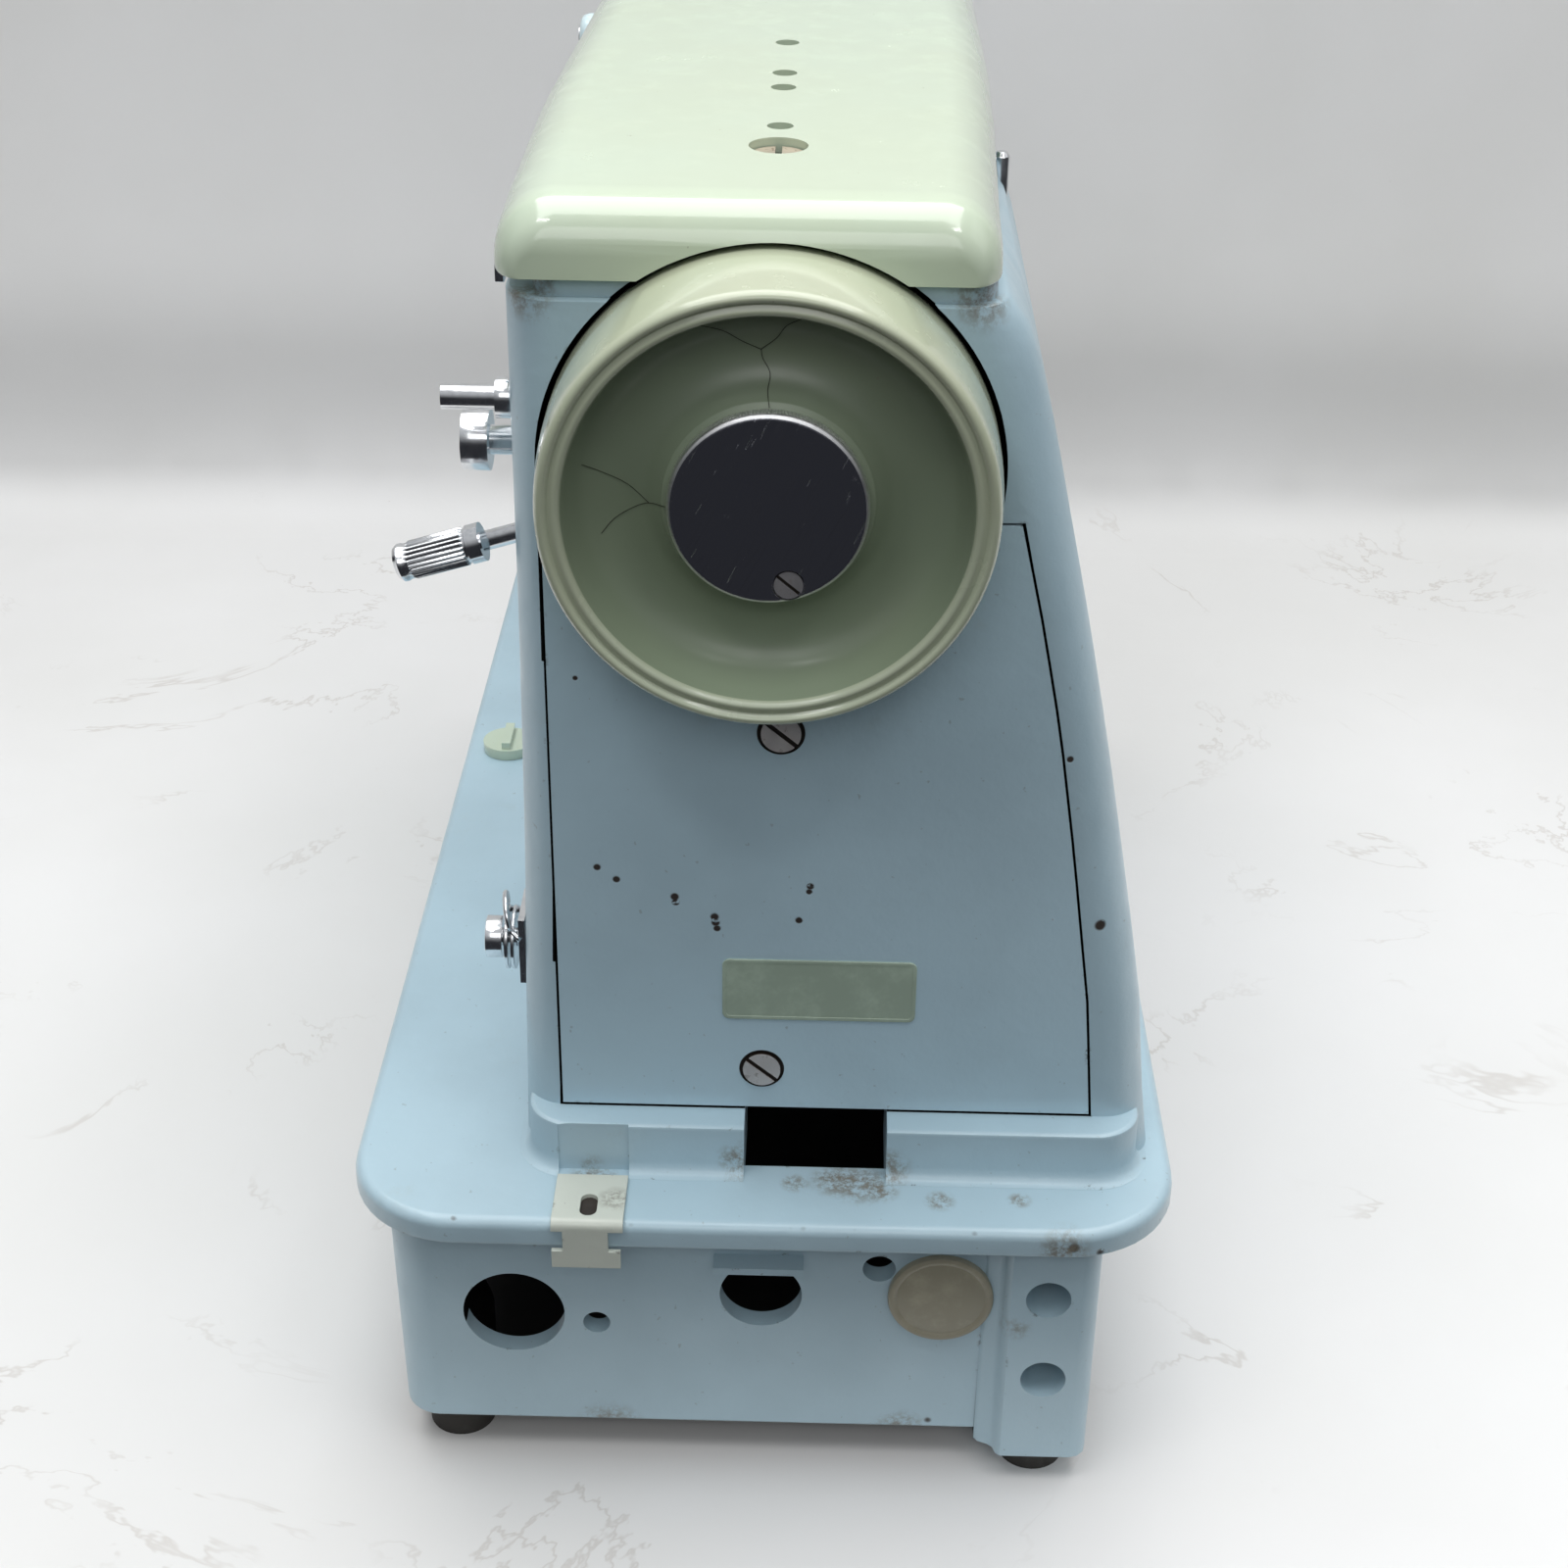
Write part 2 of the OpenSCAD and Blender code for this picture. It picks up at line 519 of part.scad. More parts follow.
module handwheel() color(sage) difference() {
  translate([0, 0, shaft_z]) rotate([0, 90, 0]) rotate_extrude($fn = 96)
    polygon(handwheel_profile);
  rod_x([150, 166], 0, shaft_z, shaft_r);
  rod_x([165, 169], 0, shaft_z, 4 + run);
}
// Radius and place along the axis: back, drum, rim, hollow of the bell, and the
// seat of the stop-motion knob
handwheel_profile = [[0, 152], [39, 152], [42, 153.5], [wheel_r + 0.8, 157],
  [wheel_r + 0.9, 168], [wheel_r + 0.5, 176], [wheel_r, 180.6], [wheel_r - 0.9, wheel_front_x],
  [wheel_r - 2.4, wheel_front_x], [wheel_r - 2.8, wheel_front_x - 0.8],
  [wheel_r - 3.4, wheel_front_x - 0.8], [wheel_r - 4.6, wheel_front_x - 2.6],
  [36.3, 175.5], [34.4, 172], [31, 169.8], [27, 169.3], [23, 170.6], [20.4, 173], [19.4, 174.4],
  [12.4, 174.4], [12.4, 168.2], [0, 168.2]];
module stop_motion_knob() color(chrome) difference() {
  translate([0, 0, shaft_z]) rotate([0, 90, 0]) rotate_extrude()
    polygon([[0, 168.5], [12, 168.5], [12, 174.7], [18.5, 174.7], [18.5, 177.2], [17.7, 178],
      [0, 178]]);
  rod_x([168, 176.4], 0, shaft_z, 4 + run);
  rod_x([173, 179], knob_screw[0], knob_screw[1], 1.5);
  rod_x([176.8, 179], knob_screw[0], knob_screw[1], 3);
}
module stop_motion_screw() color(steel) translate([177.8, knob_screw[0], knob_screw[1]])
  rotate([50, 0, 0]) rotate([0, 90, 0]) screw(2.7, 1, 1.5, 2.1);

// Vertical shaft, hook shaft and hook

module vertical_shaft() color(steel) rod_z(gear_x, 0, [hook_z + 8, shaft_z - 8], vertical_r);
module vertical_shaft_gears() color(steel) {
  translate([gear_x, 0, shaft_z]) rotate([180, 0, 0]) bevel_gear(gear_r, gear_h, vertical_r, 18);
  translate([gear_x, 0, hook_z]) bevel_gear(gear_r, gear_h, vertical_r, 18);
}
module hook_shaft() color(steel) rod_x([-118, gear_x - 8], 0, hook_z, 5);
module hook_shaft_gear() color(steel) translate([gear_x, 0, hook_z]) rotate([0, -90, 0])
  bevel_gear(gear_r, gear_h, 5, 18);
module rotary_hook() color(chrome) difference() {
  union() {
    rod_x([hook_x[0], hook_x[1]], 0, hook_z, hook_r);
    rod_x([hook_x[1] - eps, -110], 0, hook_z, 9);
  }
  rod_x([hook_x[0] - 1, hook_x[1] - 3], 0, hook_z, 13);
  rod_x([-118.02, -109], 0, hook_z, 5);
  // The notch behind the hook's point
  box([hook_x[0] - 1, hook_x[1] - 6], [6, 20], [hook_z + 6, hook_z + 20]);
}
module bobbin_case() color(steel) {
  difference() {
    rod_x([hook_x[0] - 0.6, -125], 0, hook_z, 12.4);
    rod_x([hook_x[0] + 0.6, -124], 0, hook_z, 11.2);
  }
  rod_x([hook_x[0] + 0.5, -125], 0, hook_z, 2.8);
}
module bobbin() color(chrome) difference() {
  union() {
    for (x = [hook_x[0] + 1.2, -127]) rod_x([x, x + 1], 0, hook_z, 10.4);
    rod_x([hook_x[0] + 1.2, -126], 0, hook_z, 4.6);
  }
  rod_x([-140, -120], 0, hook_z, 2.8 + run);
}

// Needle bar, take-up lever and presser

module needle_bar() color(steel) rod_z(needle_x, 0, [128, 270], bar_r);
module needle_bar_link() color(steel) {
  difference() {
    union() {
      rod_z(needle_x, 0, [210, 220], 5.6);
      box([needle_x, -129], [-4, 4], [210, 220]);
      box([-132.5, -129], [-4, 4], [210, shaft_z + crank_throw]);
      rod_x([-132.5, -129], 0, shaft_z + crank_throw, 5.5);
    }
    rod_z(needle_x, 0, [209, 221], bar_r);
    rod_x([-134, -128], 0, shaft_z + crank_throw, 3.2);
  }
}
module needle_clamp() color(chrome) difference() {
  union() {
    rod_z(needle_x, 0, [122, 134], 4.6);
    rod_y(needle_x, [-12, 0], 126, 1.6);
    rod_y(needle_x, [-14, -9], 126, 3);
  }
  rod_z(needle_x, 0, [128, 135], bar_r);
  rod_z(needle_x, 0, [121, 128.1], 1);
}
module needle() color(chrome) {
  rod_z(needle_x, 0, [106, 128], 1);
  rod_z(needle_x, 0, [91, 106 + eps], 0.6);
  translate([needle_x, 0, 88]) cylinder(h = 3 + eps, r1 = 0.1, r2 = 0.6);
}
module take_up_lever() color(chrome) translate([take_up_x, take_up_pivot[0], take_up_pivot[1]])
  difference() {
    union() {
      rod_x([-2, 2], 0, 0, 6);
      rotate([156, 0, 0]) {
        box([-1.2, 1.2], [0, 36], [-2.2, 2.2]);
        rod_x([-1.2, 1.2], 38, 0, 4);
      }
    }
    rotate([156, 0, 0]) rod_x([-3, 3], 38.5, 0, 1.6);
    rod_x([-3, 3], 0, 0, 2.5);
  }
module presser_bar() color(steel) rod_z(needle_x, presser_y, [100, 270], presser_r);
module presser_spring() color(steel) bush_z(needle_x, presser_y, [184, 258.5], presser_r + 0.7, 1.6);
module presser_foot() color(chrome) difference() {
  union() {
    box([needle_x - 4.5, needle_x + 4.5], [9, 19], [92, 112]);
    box([needle_x - 3.5, needle_x + 3.5], [9, 14], [78, 93]);
    box([needle_x - 7, needle_x + 7], [-13, 15], [bed_top + 0.3, bed_top + 2.6]);
    translate([0, -13, bed_top + 0.3]) rotate([-30, 0, 0])
      box([needle_x - 7, needle_x + 7], [-8, 0], [0, 1.8]);
  }
  rod_z(needle_x, presser_y, [100, 113], presser_r);
  box([needle_x - 1.6, needle_x + 1.6], [-30, 3], [bed_top - 5, bed_top + 10]);
}
module presser_lifter() color(chrome) {
  rod_y(needle_x, [24, 51], lifter_z, 4);
  rod_y(needle_x, [44, 51], lifter_z, 6.5);
  hull() {
    rod_y(needle_x, [47, 51], lifter_z, 5, $fn = 32);
    rod_y(needle_x + 4, [47, 51], lifter_z - 40, 4, $fn = 32);
  }
}

// Thread path

module tension_post() color(steel) {
  rod_y(dial_at[0], [-61.2, -38], dial_at[1], 3);
  rod_y(dial_at[0], [head_y[0] - 1.5, head_y[0]], dial_at[1], 6);
}
module tension_discs() color(chrome) for (y = [-50.8, -49.4, -48]) difference() {
  rod_y(dial_at[0], [y, y + 0.8], dial_at[1], 7.5);
  rod_y(dial_at[0], [y - 1, y + 2], dial_at[1], 3);
}
module tension_dial() color(ivory) difference() {
  translate([dial_at[0], -51, dial_at[1]]) rotate([90, 0, 0]) rotate_extrude()
    polygon([[3 + run, 0.2], [6.4, 0.2], [6.4, 7.4], [6, 8.8], [4.9, 9.8], [3 + run, 10]]);
}
module thread_guide(x, z) {
  rod_y(x, [head_y[0] - 5, head_y[0]], z, 1);
  box([x - 4, x + 1], [head_y[0] - 5.6, head_y[0] - 4.4], [z - 1, z + 1]);
}
module thread_guides() color(chrome) {
  for (p = [[-150, 250], [-158, 176], [-132, 200]]) thread_guide(p[0], p[1]);
}
module winder_tension_bracket() color(chrome) {
  box([stud_at[0] - 7, stud_at[0] + 6], [-53.4, -52], [stud_at[1] - 8, stud_at[1] + 8]);
  rod_y(stud_at[0], [-60, -38], stud_at[1], 2);
}
module winder_tension_discs() color(chrome) {
  for (y = [-56.6, -55.2]) bush_y(stud_at[0], [y, y + 0.8], stud_at[1], 2, 5);
  bush_y(stud_at[0], [-61, -57.4], stud_at[1], 2, 2.6);
}
module bush_y(x, y, z, r, t) difference() {
  rod_y(x, y, z, r + t);
  rod_y(x, [y[0] - 1, y[1] + 1], z, r);
}

// Controls

module stitch_length_lever() color(chrome) {
  rod_x([lever_x - 4, end_wall_x + 3.5], lever_pivot[0], lever_pivot[1], 3);
  rod_x([lever_x - 4, lever_x + 4], lever_pivot[0], lever_pivot[1], 6);
  translate([lever_x, lever_pivot[0], lever_pivot[1]]) rotate([90 + lever_tilt, 0, 0])
    cylinder(h = 44, r = 2);
}
module stitch_length_grip() color(dark) translate([lever_x, lever_pivot[0], lever_pivot[1]])
  rotate([90 + lever_tilt, 0, 0]) difference() {
    translate([0, 0, 29.5]) cylinder(h = 18.5, r = 4);
    translate([0, 0, 29]) cylinder(h = 15, r = 2);
  }
module stitch_width_lever() color(chrome) {
  box([width_at[0] - 3, width_at[0] + 3], [-53.4, -38], [width_at[1] - 0.9, width_at[1] + 0.9]);
  box([width_at[0] - 3, width_at[0] + 3], [-53.4, -51.6], [width_at[1] - 2, width_at[1] + 2]);
}
module winder_spindle() color(chrome) {
  rod_y(winder_at[0], [-64, -42], winder_at[1], 2.5);
  rod_y(winder_at[0], [-53.4, -49.9], winder_at[1], 4);
}
module winder_stop_knob() color(chrome) {
  rod_y(stop_at[0], [-62.8, -57.3], stop_at[1], 6.3);
  rod_y(stop_at[0], [-58, -40], stop_at[1], 3);
}
module spool_pin() color(chrome) {
  rod_z(spool_at[0], spool_at[1], [218, 269], 1.7);
  translate([spool_at[0], spool_at[1], 269 - eps]) cylinder(h = 1, r1 = 1.7, r2 = 1);
}

bed_casting();
arm_casting();
top_cover();
cover_screw();
end_panel();
end_panel_screws();
rating_plate();
face_plate();
face_plate_screw();
needle_plate();
needle_plate_screws();
rubber_feet();
bed_clip();
blanking_plug();
main_shaft_bushes();
vertical_shaft_bushes();
hook_shaft_bushes();
bar_bushes();
motor_body();
motor_bracket();
drive_belt();
tension_post();
tension_discs();
thread_guides();
winder_tension_bracket();
winder_tension_discs();
presser_spring();
bobbin_case();
main_shaft();
main_shaft_gear();
needle_crank();
drive_pulley();
handwheel();
stop_motion_knob();
stop_motion_screw();
vertical_shaft();
vertical_shaft_gears();
hook_shaft();
hook_shaft_gear();
rotary_hook();
bobbin();
motor_pulley();
needle_bar();
needle_bar_link();
needle_clamp();
needle();
take_up_lever();
presser_lifter();
presser_bar();
presser_foot();
feed_dog();
tension_dial();
stitch_length_lever();
stitch_length_grip();
stitch_width_lever();
winder_spindle();
winder_stop_knob();
spool_pin();
slide_plate();
feed_drop_knob();
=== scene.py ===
import json
import math

import bmesh
import bpy
from mathutils import Matrix, Vector


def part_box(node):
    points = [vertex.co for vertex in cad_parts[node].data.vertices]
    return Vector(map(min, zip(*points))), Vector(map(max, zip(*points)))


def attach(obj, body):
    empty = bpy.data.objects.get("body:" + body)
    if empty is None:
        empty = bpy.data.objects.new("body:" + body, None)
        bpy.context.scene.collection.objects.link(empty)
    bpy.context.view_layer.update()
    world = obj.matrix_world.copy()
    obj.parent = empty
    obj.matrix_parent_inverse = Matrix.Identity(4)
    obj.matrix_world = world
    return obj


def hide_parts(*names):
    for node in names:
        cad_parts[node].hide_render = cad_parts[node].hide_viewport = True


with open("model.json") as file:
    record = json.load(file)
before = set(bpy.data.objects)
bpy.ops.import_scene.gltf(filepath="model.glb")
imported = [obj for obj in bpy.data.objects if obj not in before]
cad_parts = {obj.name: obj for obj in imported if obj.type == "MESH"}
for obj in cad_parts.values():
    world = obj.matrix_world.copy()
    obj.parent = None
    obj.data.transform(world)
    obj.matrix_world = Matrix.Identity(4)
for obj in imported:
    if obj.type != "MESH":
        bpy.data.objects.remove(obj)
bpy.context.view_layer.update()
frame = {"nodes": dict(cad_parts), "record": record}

MM = 0.001

# ---------------------------------------------------------------- camera, light and floor

CAMERA_AT = Vector((0.5918, 0.0098, 0.4150))
CAMERA_LOOKS = Vector((-0.86879, -0.01304, -0.49500))
CAMERA_ROLL = math.radians(0.8)
CAMERA_LENS = 57.08      # mm on a 36 mm sensor


def make_camera():
    data = bpy.data.cameras.new("camera")
    data.lens = CAMERA_LENS
    data.sensor_width = 36
    camera = bpy.data.objects.new("camera", data)
    look = CAMERA_LOOKS.normalized()
    right = look.cross(Vector((0, 0, 1))).normalized()
    up = right.cross(look)
    turned_right = right * math.cos(CAMERA_ROLL) + up * math.sin(CAMERA_ROLL)
    turned_up = up * math.cos(CAMERA_ROLL) - right * math.sin(CAMERA_ROLL)
    rows = Matrix((turned_right, turned_up, -look)).transposed()
    camera.matrix_world = Matrix.Translation(CAMERA_AT) @ rows.to_4x4()
    bpy.context.scene.collection.objects.link(camera)
    bpy.context.scene.camera = camera


def area_light(name, at, towards, size, watts, color=(1, 1, 1)):
    data = bpy.data.lights.new(name, "AREA")
    data.shape = "RECTANGLE"
    data.size, data.size_y = size
    data.energy = watts
    data.color = color
    light = bpy.data.objects.new(name, data)
    light.location = at
    light.rotation_euler = (Vector(towards) - Vector(at)).to_track_quat("-Z", "Y").to_euler()
    light.visible_camera = False
    bpy.context.scene.collection.objects.link(light)


SKY_BELOW = (0.032, 0.034, 0.042, 1)    # the room's light from below the horizon
SKY_ABOVE = (0.94, 0.97, 1.0, 1)        # and from overhead
SKY_SEEN = (1.09, 1.09, 1.07, 1)        # what the camera sees in place of both
SKY_STRENGTH = 0.55


def make_light():
    """A pale room that lights mostly from overhead, and is pale where the camera sees it."""
    world = bpy.data.worlds.new("studio")
    world.use_nodes = True
    tree = world.node_tree
    sky = tree.nodes["Background"]
    place = tree.nodes.new("ShaderNodeTexCoord")
    split = tree.nodes.new("ShaderNodeSeparateXYZ")
    tree.links.new(place.outputs["Generated"], split.inputs[0])
    rise = tree.nodes.new("ShaderNodeMapRange")
    rise.interpolation_type = "SMOOTHSTEP"
    for key, number in (("From Min", -0.05), ("From Max", 0.75), ("To Min", 0.02), ("To Max", 1.0)):
        rise.inputs[key].default_value = number
    tree.links.new(split.outputs["Z"], rise.inputs["Value"])
    tint = tree.nodes.new("ShaderNodeMix")
    tint.data_type = "RGBA"
    tint.inputs["A"].default_value = SKY_BELOW
    tint.inputs["B"].default_value = SKY_ABOVE
    tree.links.new(rise.outputs["Result"], tint.inputs["Factor"])
    seen = tree.nodes.new("ShaderNodeMix")
    seen.data_type = "RGBA"
    seen.inputs["B"].default_value = SKY_SEEN
    camera_ray = tree.nodes.new("ShaderNodeLightPath").outputs["Is Camera Ray"]
    tree.links.new(camera_ray, seen.inputs["Factor"])
    tree.links.new(tint.outputs["Result"], seen.inputs["A"])
    tree.links.new(seen.outputs["Result"], sky.inputs["Color"])
    sky.inputs["Strength"].default_value = SKY_STRENGTH
    bpy.context.scene.world = world
    bpy.context.scene.view_settings.view_transform = "Standard"
    area_light("key", (-0.2, 0.0, 1.6), (0.0, 0.0, 0.1), (1.6, 1.7), 29)
    area_light("front", (1.25, 0.0, 0.95), (0.16, 0.0, 0.12), (0.9, 0.5), 2.6)
    area_light("side", (0.1, 1.2, 1.0), (0.1, 0.0, 0.15), (0.9, 0.7), 0.8)
    area_light("glint", (0.62, -0.40, 1.25), (0.15, 0.0, 0.2), (0.4, 0.10), 1.2)
    area_light("glint_2", (0.62, 0.45, 1.25), (0.15, 0.0, 0.2), (0.3, 0.10), 0.9)


SHEET_FRONT = 224           # the backdrop's front edge, in mm along X
SHEET_BACK = -330           # where its floor starts to rise
SHEET_HALF_WIDTH = 1500
COVE_R = 60
WALL_TOP = 900
# The dark patch is a painted shadow: the floor under the machine is painted near black.
UNDER_SHADOW_X = 0.165             # half sizes of the dark patch under the machine, in metres
UNDER_SHADOW_Y = 0.071
UNDER_SHADOW_SHIFT_Y = 0.004       # the patch's middle is this far towards the operator


def backdrop():
    """The white sheet the machine stands on: table, cove and wall in one, clear from behind."""
    line = [(SHEET_FRONT, 0), (SHEET_FRONT - 6, 0), (SHEET_BACK, 0)]
    line += [(SHEET_BACK - COVE_R * math.sin(math.radians(a)),
              COVE_R - COVE_R * math.cos(math.radians(a))) for a in range(10, 91, 10)]
    line += [(SHEET_BACK - COVE_R, WALL_TOP)]
    sheet = new_piece("backdrop", [(x, y, z) for x, z in line
                                   for y in (-SHEET_HALF_WIDTH, SHEET_HALF_WIDTH)],
                      [(2 * i, 2 * i + 1, 2 * i + 3, 2 * i + 2) for i in range(len(line) - 1)])
    sheet.data.shade_smooth()
    n = Nodes("backdrop")
    cloud = n.ramp(n.noise(3.2, 4, 0.6), 0.3, 0.7)
    base = n.mix(cloud, rgb(0.77, 0.765, 0.76), rgb(0.70, 0.695, 0.68))
    height = n.add("ShaderNodeSeparateXYZ")
    n.link(n.place, height.inputs[0])
    height = height.outputs["Z"]
    shade = n.math("MULTIPLY", n.ramp(height, 0.002, 0.016, 0, 0.42),
                   n.ramp(height, 0.02, 0.11, 1, 0.0))
    base = n.mix(shade, base, rgb(0.20, 0.20, 0.20))
    vein = n.math("ABSOLUTE", n.math("SUBTRACT", n.noise(9, 6, 0.62, 0.6), 0.5))
    vein = n.math("MULTIPLY", n.ramp(vein, 0.0, 0.010, 1, 0),
                  n.ramp(n.noise(14, 3), 0.48, 0.62, 0, 0.42))
    vein = n.math("MULTIPLY", vein, n.ramp(height, 0.001, 0.01, 1, 0))
    base = n.mix(vein, base, rgb(0.46, 0.42, 0.38))
    speck = n.ramp(n.noise(150, 4, 0.7), 0.74, 0.78, 0, 0.4)
    base = n.mix(speck, base, rgb(0.42, 0.38, 0.34))
    place = n.add("ShaderNodeSeparateXYZ")
    n.link(n.place, place.inputs[0])
    # Painted shadow: the floor under the machine is darkened to near black.
    along = n.math("DIVIDE", n.math("ABSOLUTE", place.outputs["X"]), UNDER_SHADOW_X)
    across = n.math("ABSOLUTE", n.math("ADD", place.outputs["Y"], UNDER_SHADOW_SHIFT_Y))
    across = n.math("DIVIDE", across, UNDER_SHADOW_Y)
    under = n.ramp(n.math("MAXIMUM", along, across), 0.93, 1.0, 0.97, 0)
    base = n.mix(under, base, rgb(0.01, 0.01, 0.01))
    n.set(Base_Color=base, Roughness=n.ramp(n.noise(26, 5), 0.3, 0.7, 0.36, 0.55),
          Normal=n.bump(n.noise(40, 5, 0.6), 0.0006, 0.3))
    clear = n.add("ShaderNodeMixShader")
    n.link(n.math("MULTIPLY", n.add("ShaderNodeNewGeometry").outputs["Backfacing"],
                  n.add("ShaderNodeLightPath").outputs["Is Camera Ray"]), clear.inputs[0])
    n.link(n.shader.outputs[0], clear.inputs[1])
    n.link(n.add("ShaderNodeBsdfTransparent").outputs[0], clear.inputs[2])
    n.link(clear.outputs[0], n.tree.nodes["Material Output"].inputs["Surface"])
    sheet.data.materials.append(n.material)


# ---------------------------------------------------------------- materials

class Nodes:
    """Short names for building a material's node tree."""

    def __init__(self, name):
        self.material = bpy.data.materials.new(name)
        self.material.use_nodes = True
        self.tree = self.material.node_tree
        self.shader = self.tree.nodes["Principled BSDF"]
        self.place = self.add("ShaderNodeTexCoord").outputs["Object"]

    def add(self, kind, **values):
        node = self.tree.nodes.new(kind)
        for key, value in values.items():
            setattr(node, key, value)
        return node

    def link(self, source, target):
        self.tree.links.new(source, target)

    def put(self, socket, value):
        if isinstance(value, bpy.types.NodeSocket):
            self.link(value, socket)
        else:
            socket.default_value = value

    def set(self, **values):
        for key, value in values.items():
            self.put(self.shader.inputs[key.replace("_", " ")], value)

    def noise(self, scale, detail=3, roughness=0.55, distortion=0.0, stretch=None):
        node = self.add("ShaderNodeTexNoise")
        node.inputs["Scale"].default_value = scale
        node.inputs["Detail"].default_value = detail
        node.inputs["Roughness"].default_value = roughness
        node.inputs["Distortion"].default_value = distortion
        place = self.place
        if stretch:
            mapping = self.add("ShaderNodeMapping")
            mapping.inputs["Scale"].default_value = stretch
            self.link(place, mapping.inputs["Vector"])
            place = mapping.outputs["Vector"]
        self.link(place, node.inputs["Vector"])
        return node.outputs["Fac"]

    def ramp(self, value, low, high, out_low=0.0, out_high=1.0):
        node = self.add("ShaderNodeMapRange", interpolation_type="SMOOTHSTEP")
        self.put(node.inputs["Value"], value)
        for key, number in (("From Min", low), ("From Max", high), ("To Min", out_low),
                            ("To Max", out_high)):
            node.inputs[key].default_value = number
        return node.outputs["Result"]

    def math(self, operation, a, b=0.0):
        node = self.add("ShaderNodeMath", operation=operation)
        self.put(node.inputs[0], a)
        self.put(node.inputs[1], b)
        return node.outputs[0]

    def mix(self, factor, a, b):
        node = self.add("ShaderNodeMix", data_type="RGBA")
        self.put(node.inputs["Factor"], factor)
        self.put(node.inputs["A"], a)
        self.put(node.inputs["B"], b)
        return node.outputs["Result"]

    def bump(self, height, distance, strength=1.0, under=None):
        node = self.add("ShaderNodeBump")
        node.inputs["Distance"].default_value = distance
        node.inputs["Strength"].default_value = strength
        self.put(node.inputs["Height"], height)
        if under is not None:
            self.link(under, node.inputs["Normal"])
        return node.outputs["Normal"]

    def near(self, at, radius, soft=0.4):
        """1 within radius of a point, falling to 0 outside it."""
        node = self.add("ShaderNodeVectorMath", operation="DISTANCE")
        self.link(self.place, node.inputs[0])
        node.inputs[1].default_value = at
        return self.ramp(node.outputs["Value"], radius * (1 - soft), radius * (1 + soft), 1, 0)

    def edges(self, radius):
        """1 on sharp edges: where the rounded normal leaves the true one."""
        bevel = self.add("ShaderNodeBevel", samples=4)
        bevel.inputs["Radius"].default_value = radius
        geometry = self.add("ShaderNodeNewGeometry")
        dot = self.add("ShaderNodeVectorMath", operation="DOT_PRODUCT")
        self.link(bevel.outputs["Normal"], dot.inputs[0])
        self.link(geometry.outputs["Normal"], dot.inputs[1])
        return self.ramp(dot.outputs["Value"], 0.99, 0.90)


def rgb(r, g, b):
    return (r, g, b, 1)


def enamel(name, color, marks=(), dirt=(), wear=0.5, rough=0.34):
    """Stoved enamel on a casting: orange peel, faint stains, chips along edges."""
    n = Nodes(name)
    shade = [c * 0.88 for c in color[:3]] + [1]
    base = n.mix(n.ramp(n.noise(14, 4), 0.35, 0.7), color, shade)
    speck = n.ramp(n.noise(520, 2), 0.72, 0.76)
    base = n.mix(n.math("MULTIPLY", speck, 0.35), base, rgb(0.20, 0.22, 0.22))
    grime = n.ramp(n.noise(42, 6, 0.7), 0.60, 0.80, 0, 0.22)
    base = n.mix(grime, base, rgb(0.36, 0.40, 0.36))
    chips = n.math("MULTIPLY", n.edges(0.0011), n.ramp(n.noise(260, 5, 0.7), 0.60, 0.66))
    chips = n.math("MULTIPLY", chips, wear)
    for at, radius in marks:
        ragged = n.ramp(n.noise(700, 3, 0.6), 0.32, 0.40)
        chips = n.math("MAXIMUM", chips, n.math("MULTIPLY", n.near(at, radius, 0.25), ragged))
    base = n.mix(chips, base, rgb(0.045, 0.035, 0.03))
    for at, radius in dirt:
        spread = n.math("MULTIPLY", n.near(at, radius, 0.6),
                        n.ramp(n.noise(420, 7, 0.8), 0.40, 0.60, 0, 0.9))
        base = n.mix(spread, base, rgb(0.20, 0.185, 0.15))
    peel = n.bump(n.noise(430, 2, 0.4), 0.00018, 0.55)
    sand = n.bump(n.noise(1500, 2, 0.5), 0.00005, 0.5, under=peel)
    normal = n.bump(n.math("SUBTRACT", 1.0, chips), 0.00025, 0.6, under=sand)
    n.set(Base_Color=base, Roughness=n.ramp(n.noise(60, 5), 0.3, 0.7, rough - 0.05, rough + 0.12),
          Normal=normal, Coat_Weight=0.25, Coat_Roughness=0.22)
    return n.material


def plastic(name, color, stain, rough=0.14, coat=0.5, scratch=0.4):
    """Glossy moulding with yellowing, hairline scratches and a little grime."""
    n = Nodes(name)
    base = n.mix(n.ramp(n.noise(9, 4, 0.6), 0.38, 0.72, 0, 0.5), color, stain)
    fine = n.ramp(n.noise(90, 6, 0.72), 0.62, 0.82, 0, 0.12)
    base = n.mix(fine, base, [c * 0.72 for c in color[:3]] + [1])
    speck = n.ramp(n.noise(640, 2), 0.76, 0.79, 0, 0.5)
    base = n.mix(speck, base, rgb(0.25, 0.24, 0.18))
    lines = n.noise(60, 2, 0.5, 0.3, stretch=(1, 14, 14))
    lines = n.ramp(lines, 0.66, 0.70, 0, scratch)
    normal = n.bump(n.math("ADD", n.noise(55, 3), n.math("MULTIPLY", lines, -0.2)), 0.0002, 0.06)
    n.set(Base_Color=base, Roughness=n.ramp(n.noise(120, 5), 0.35, 0.75, rough, rough + 0.16),
          Normal=normal, Coat_Weight=coat, Coat_Roughness=rough * 0.6)
    return n.material


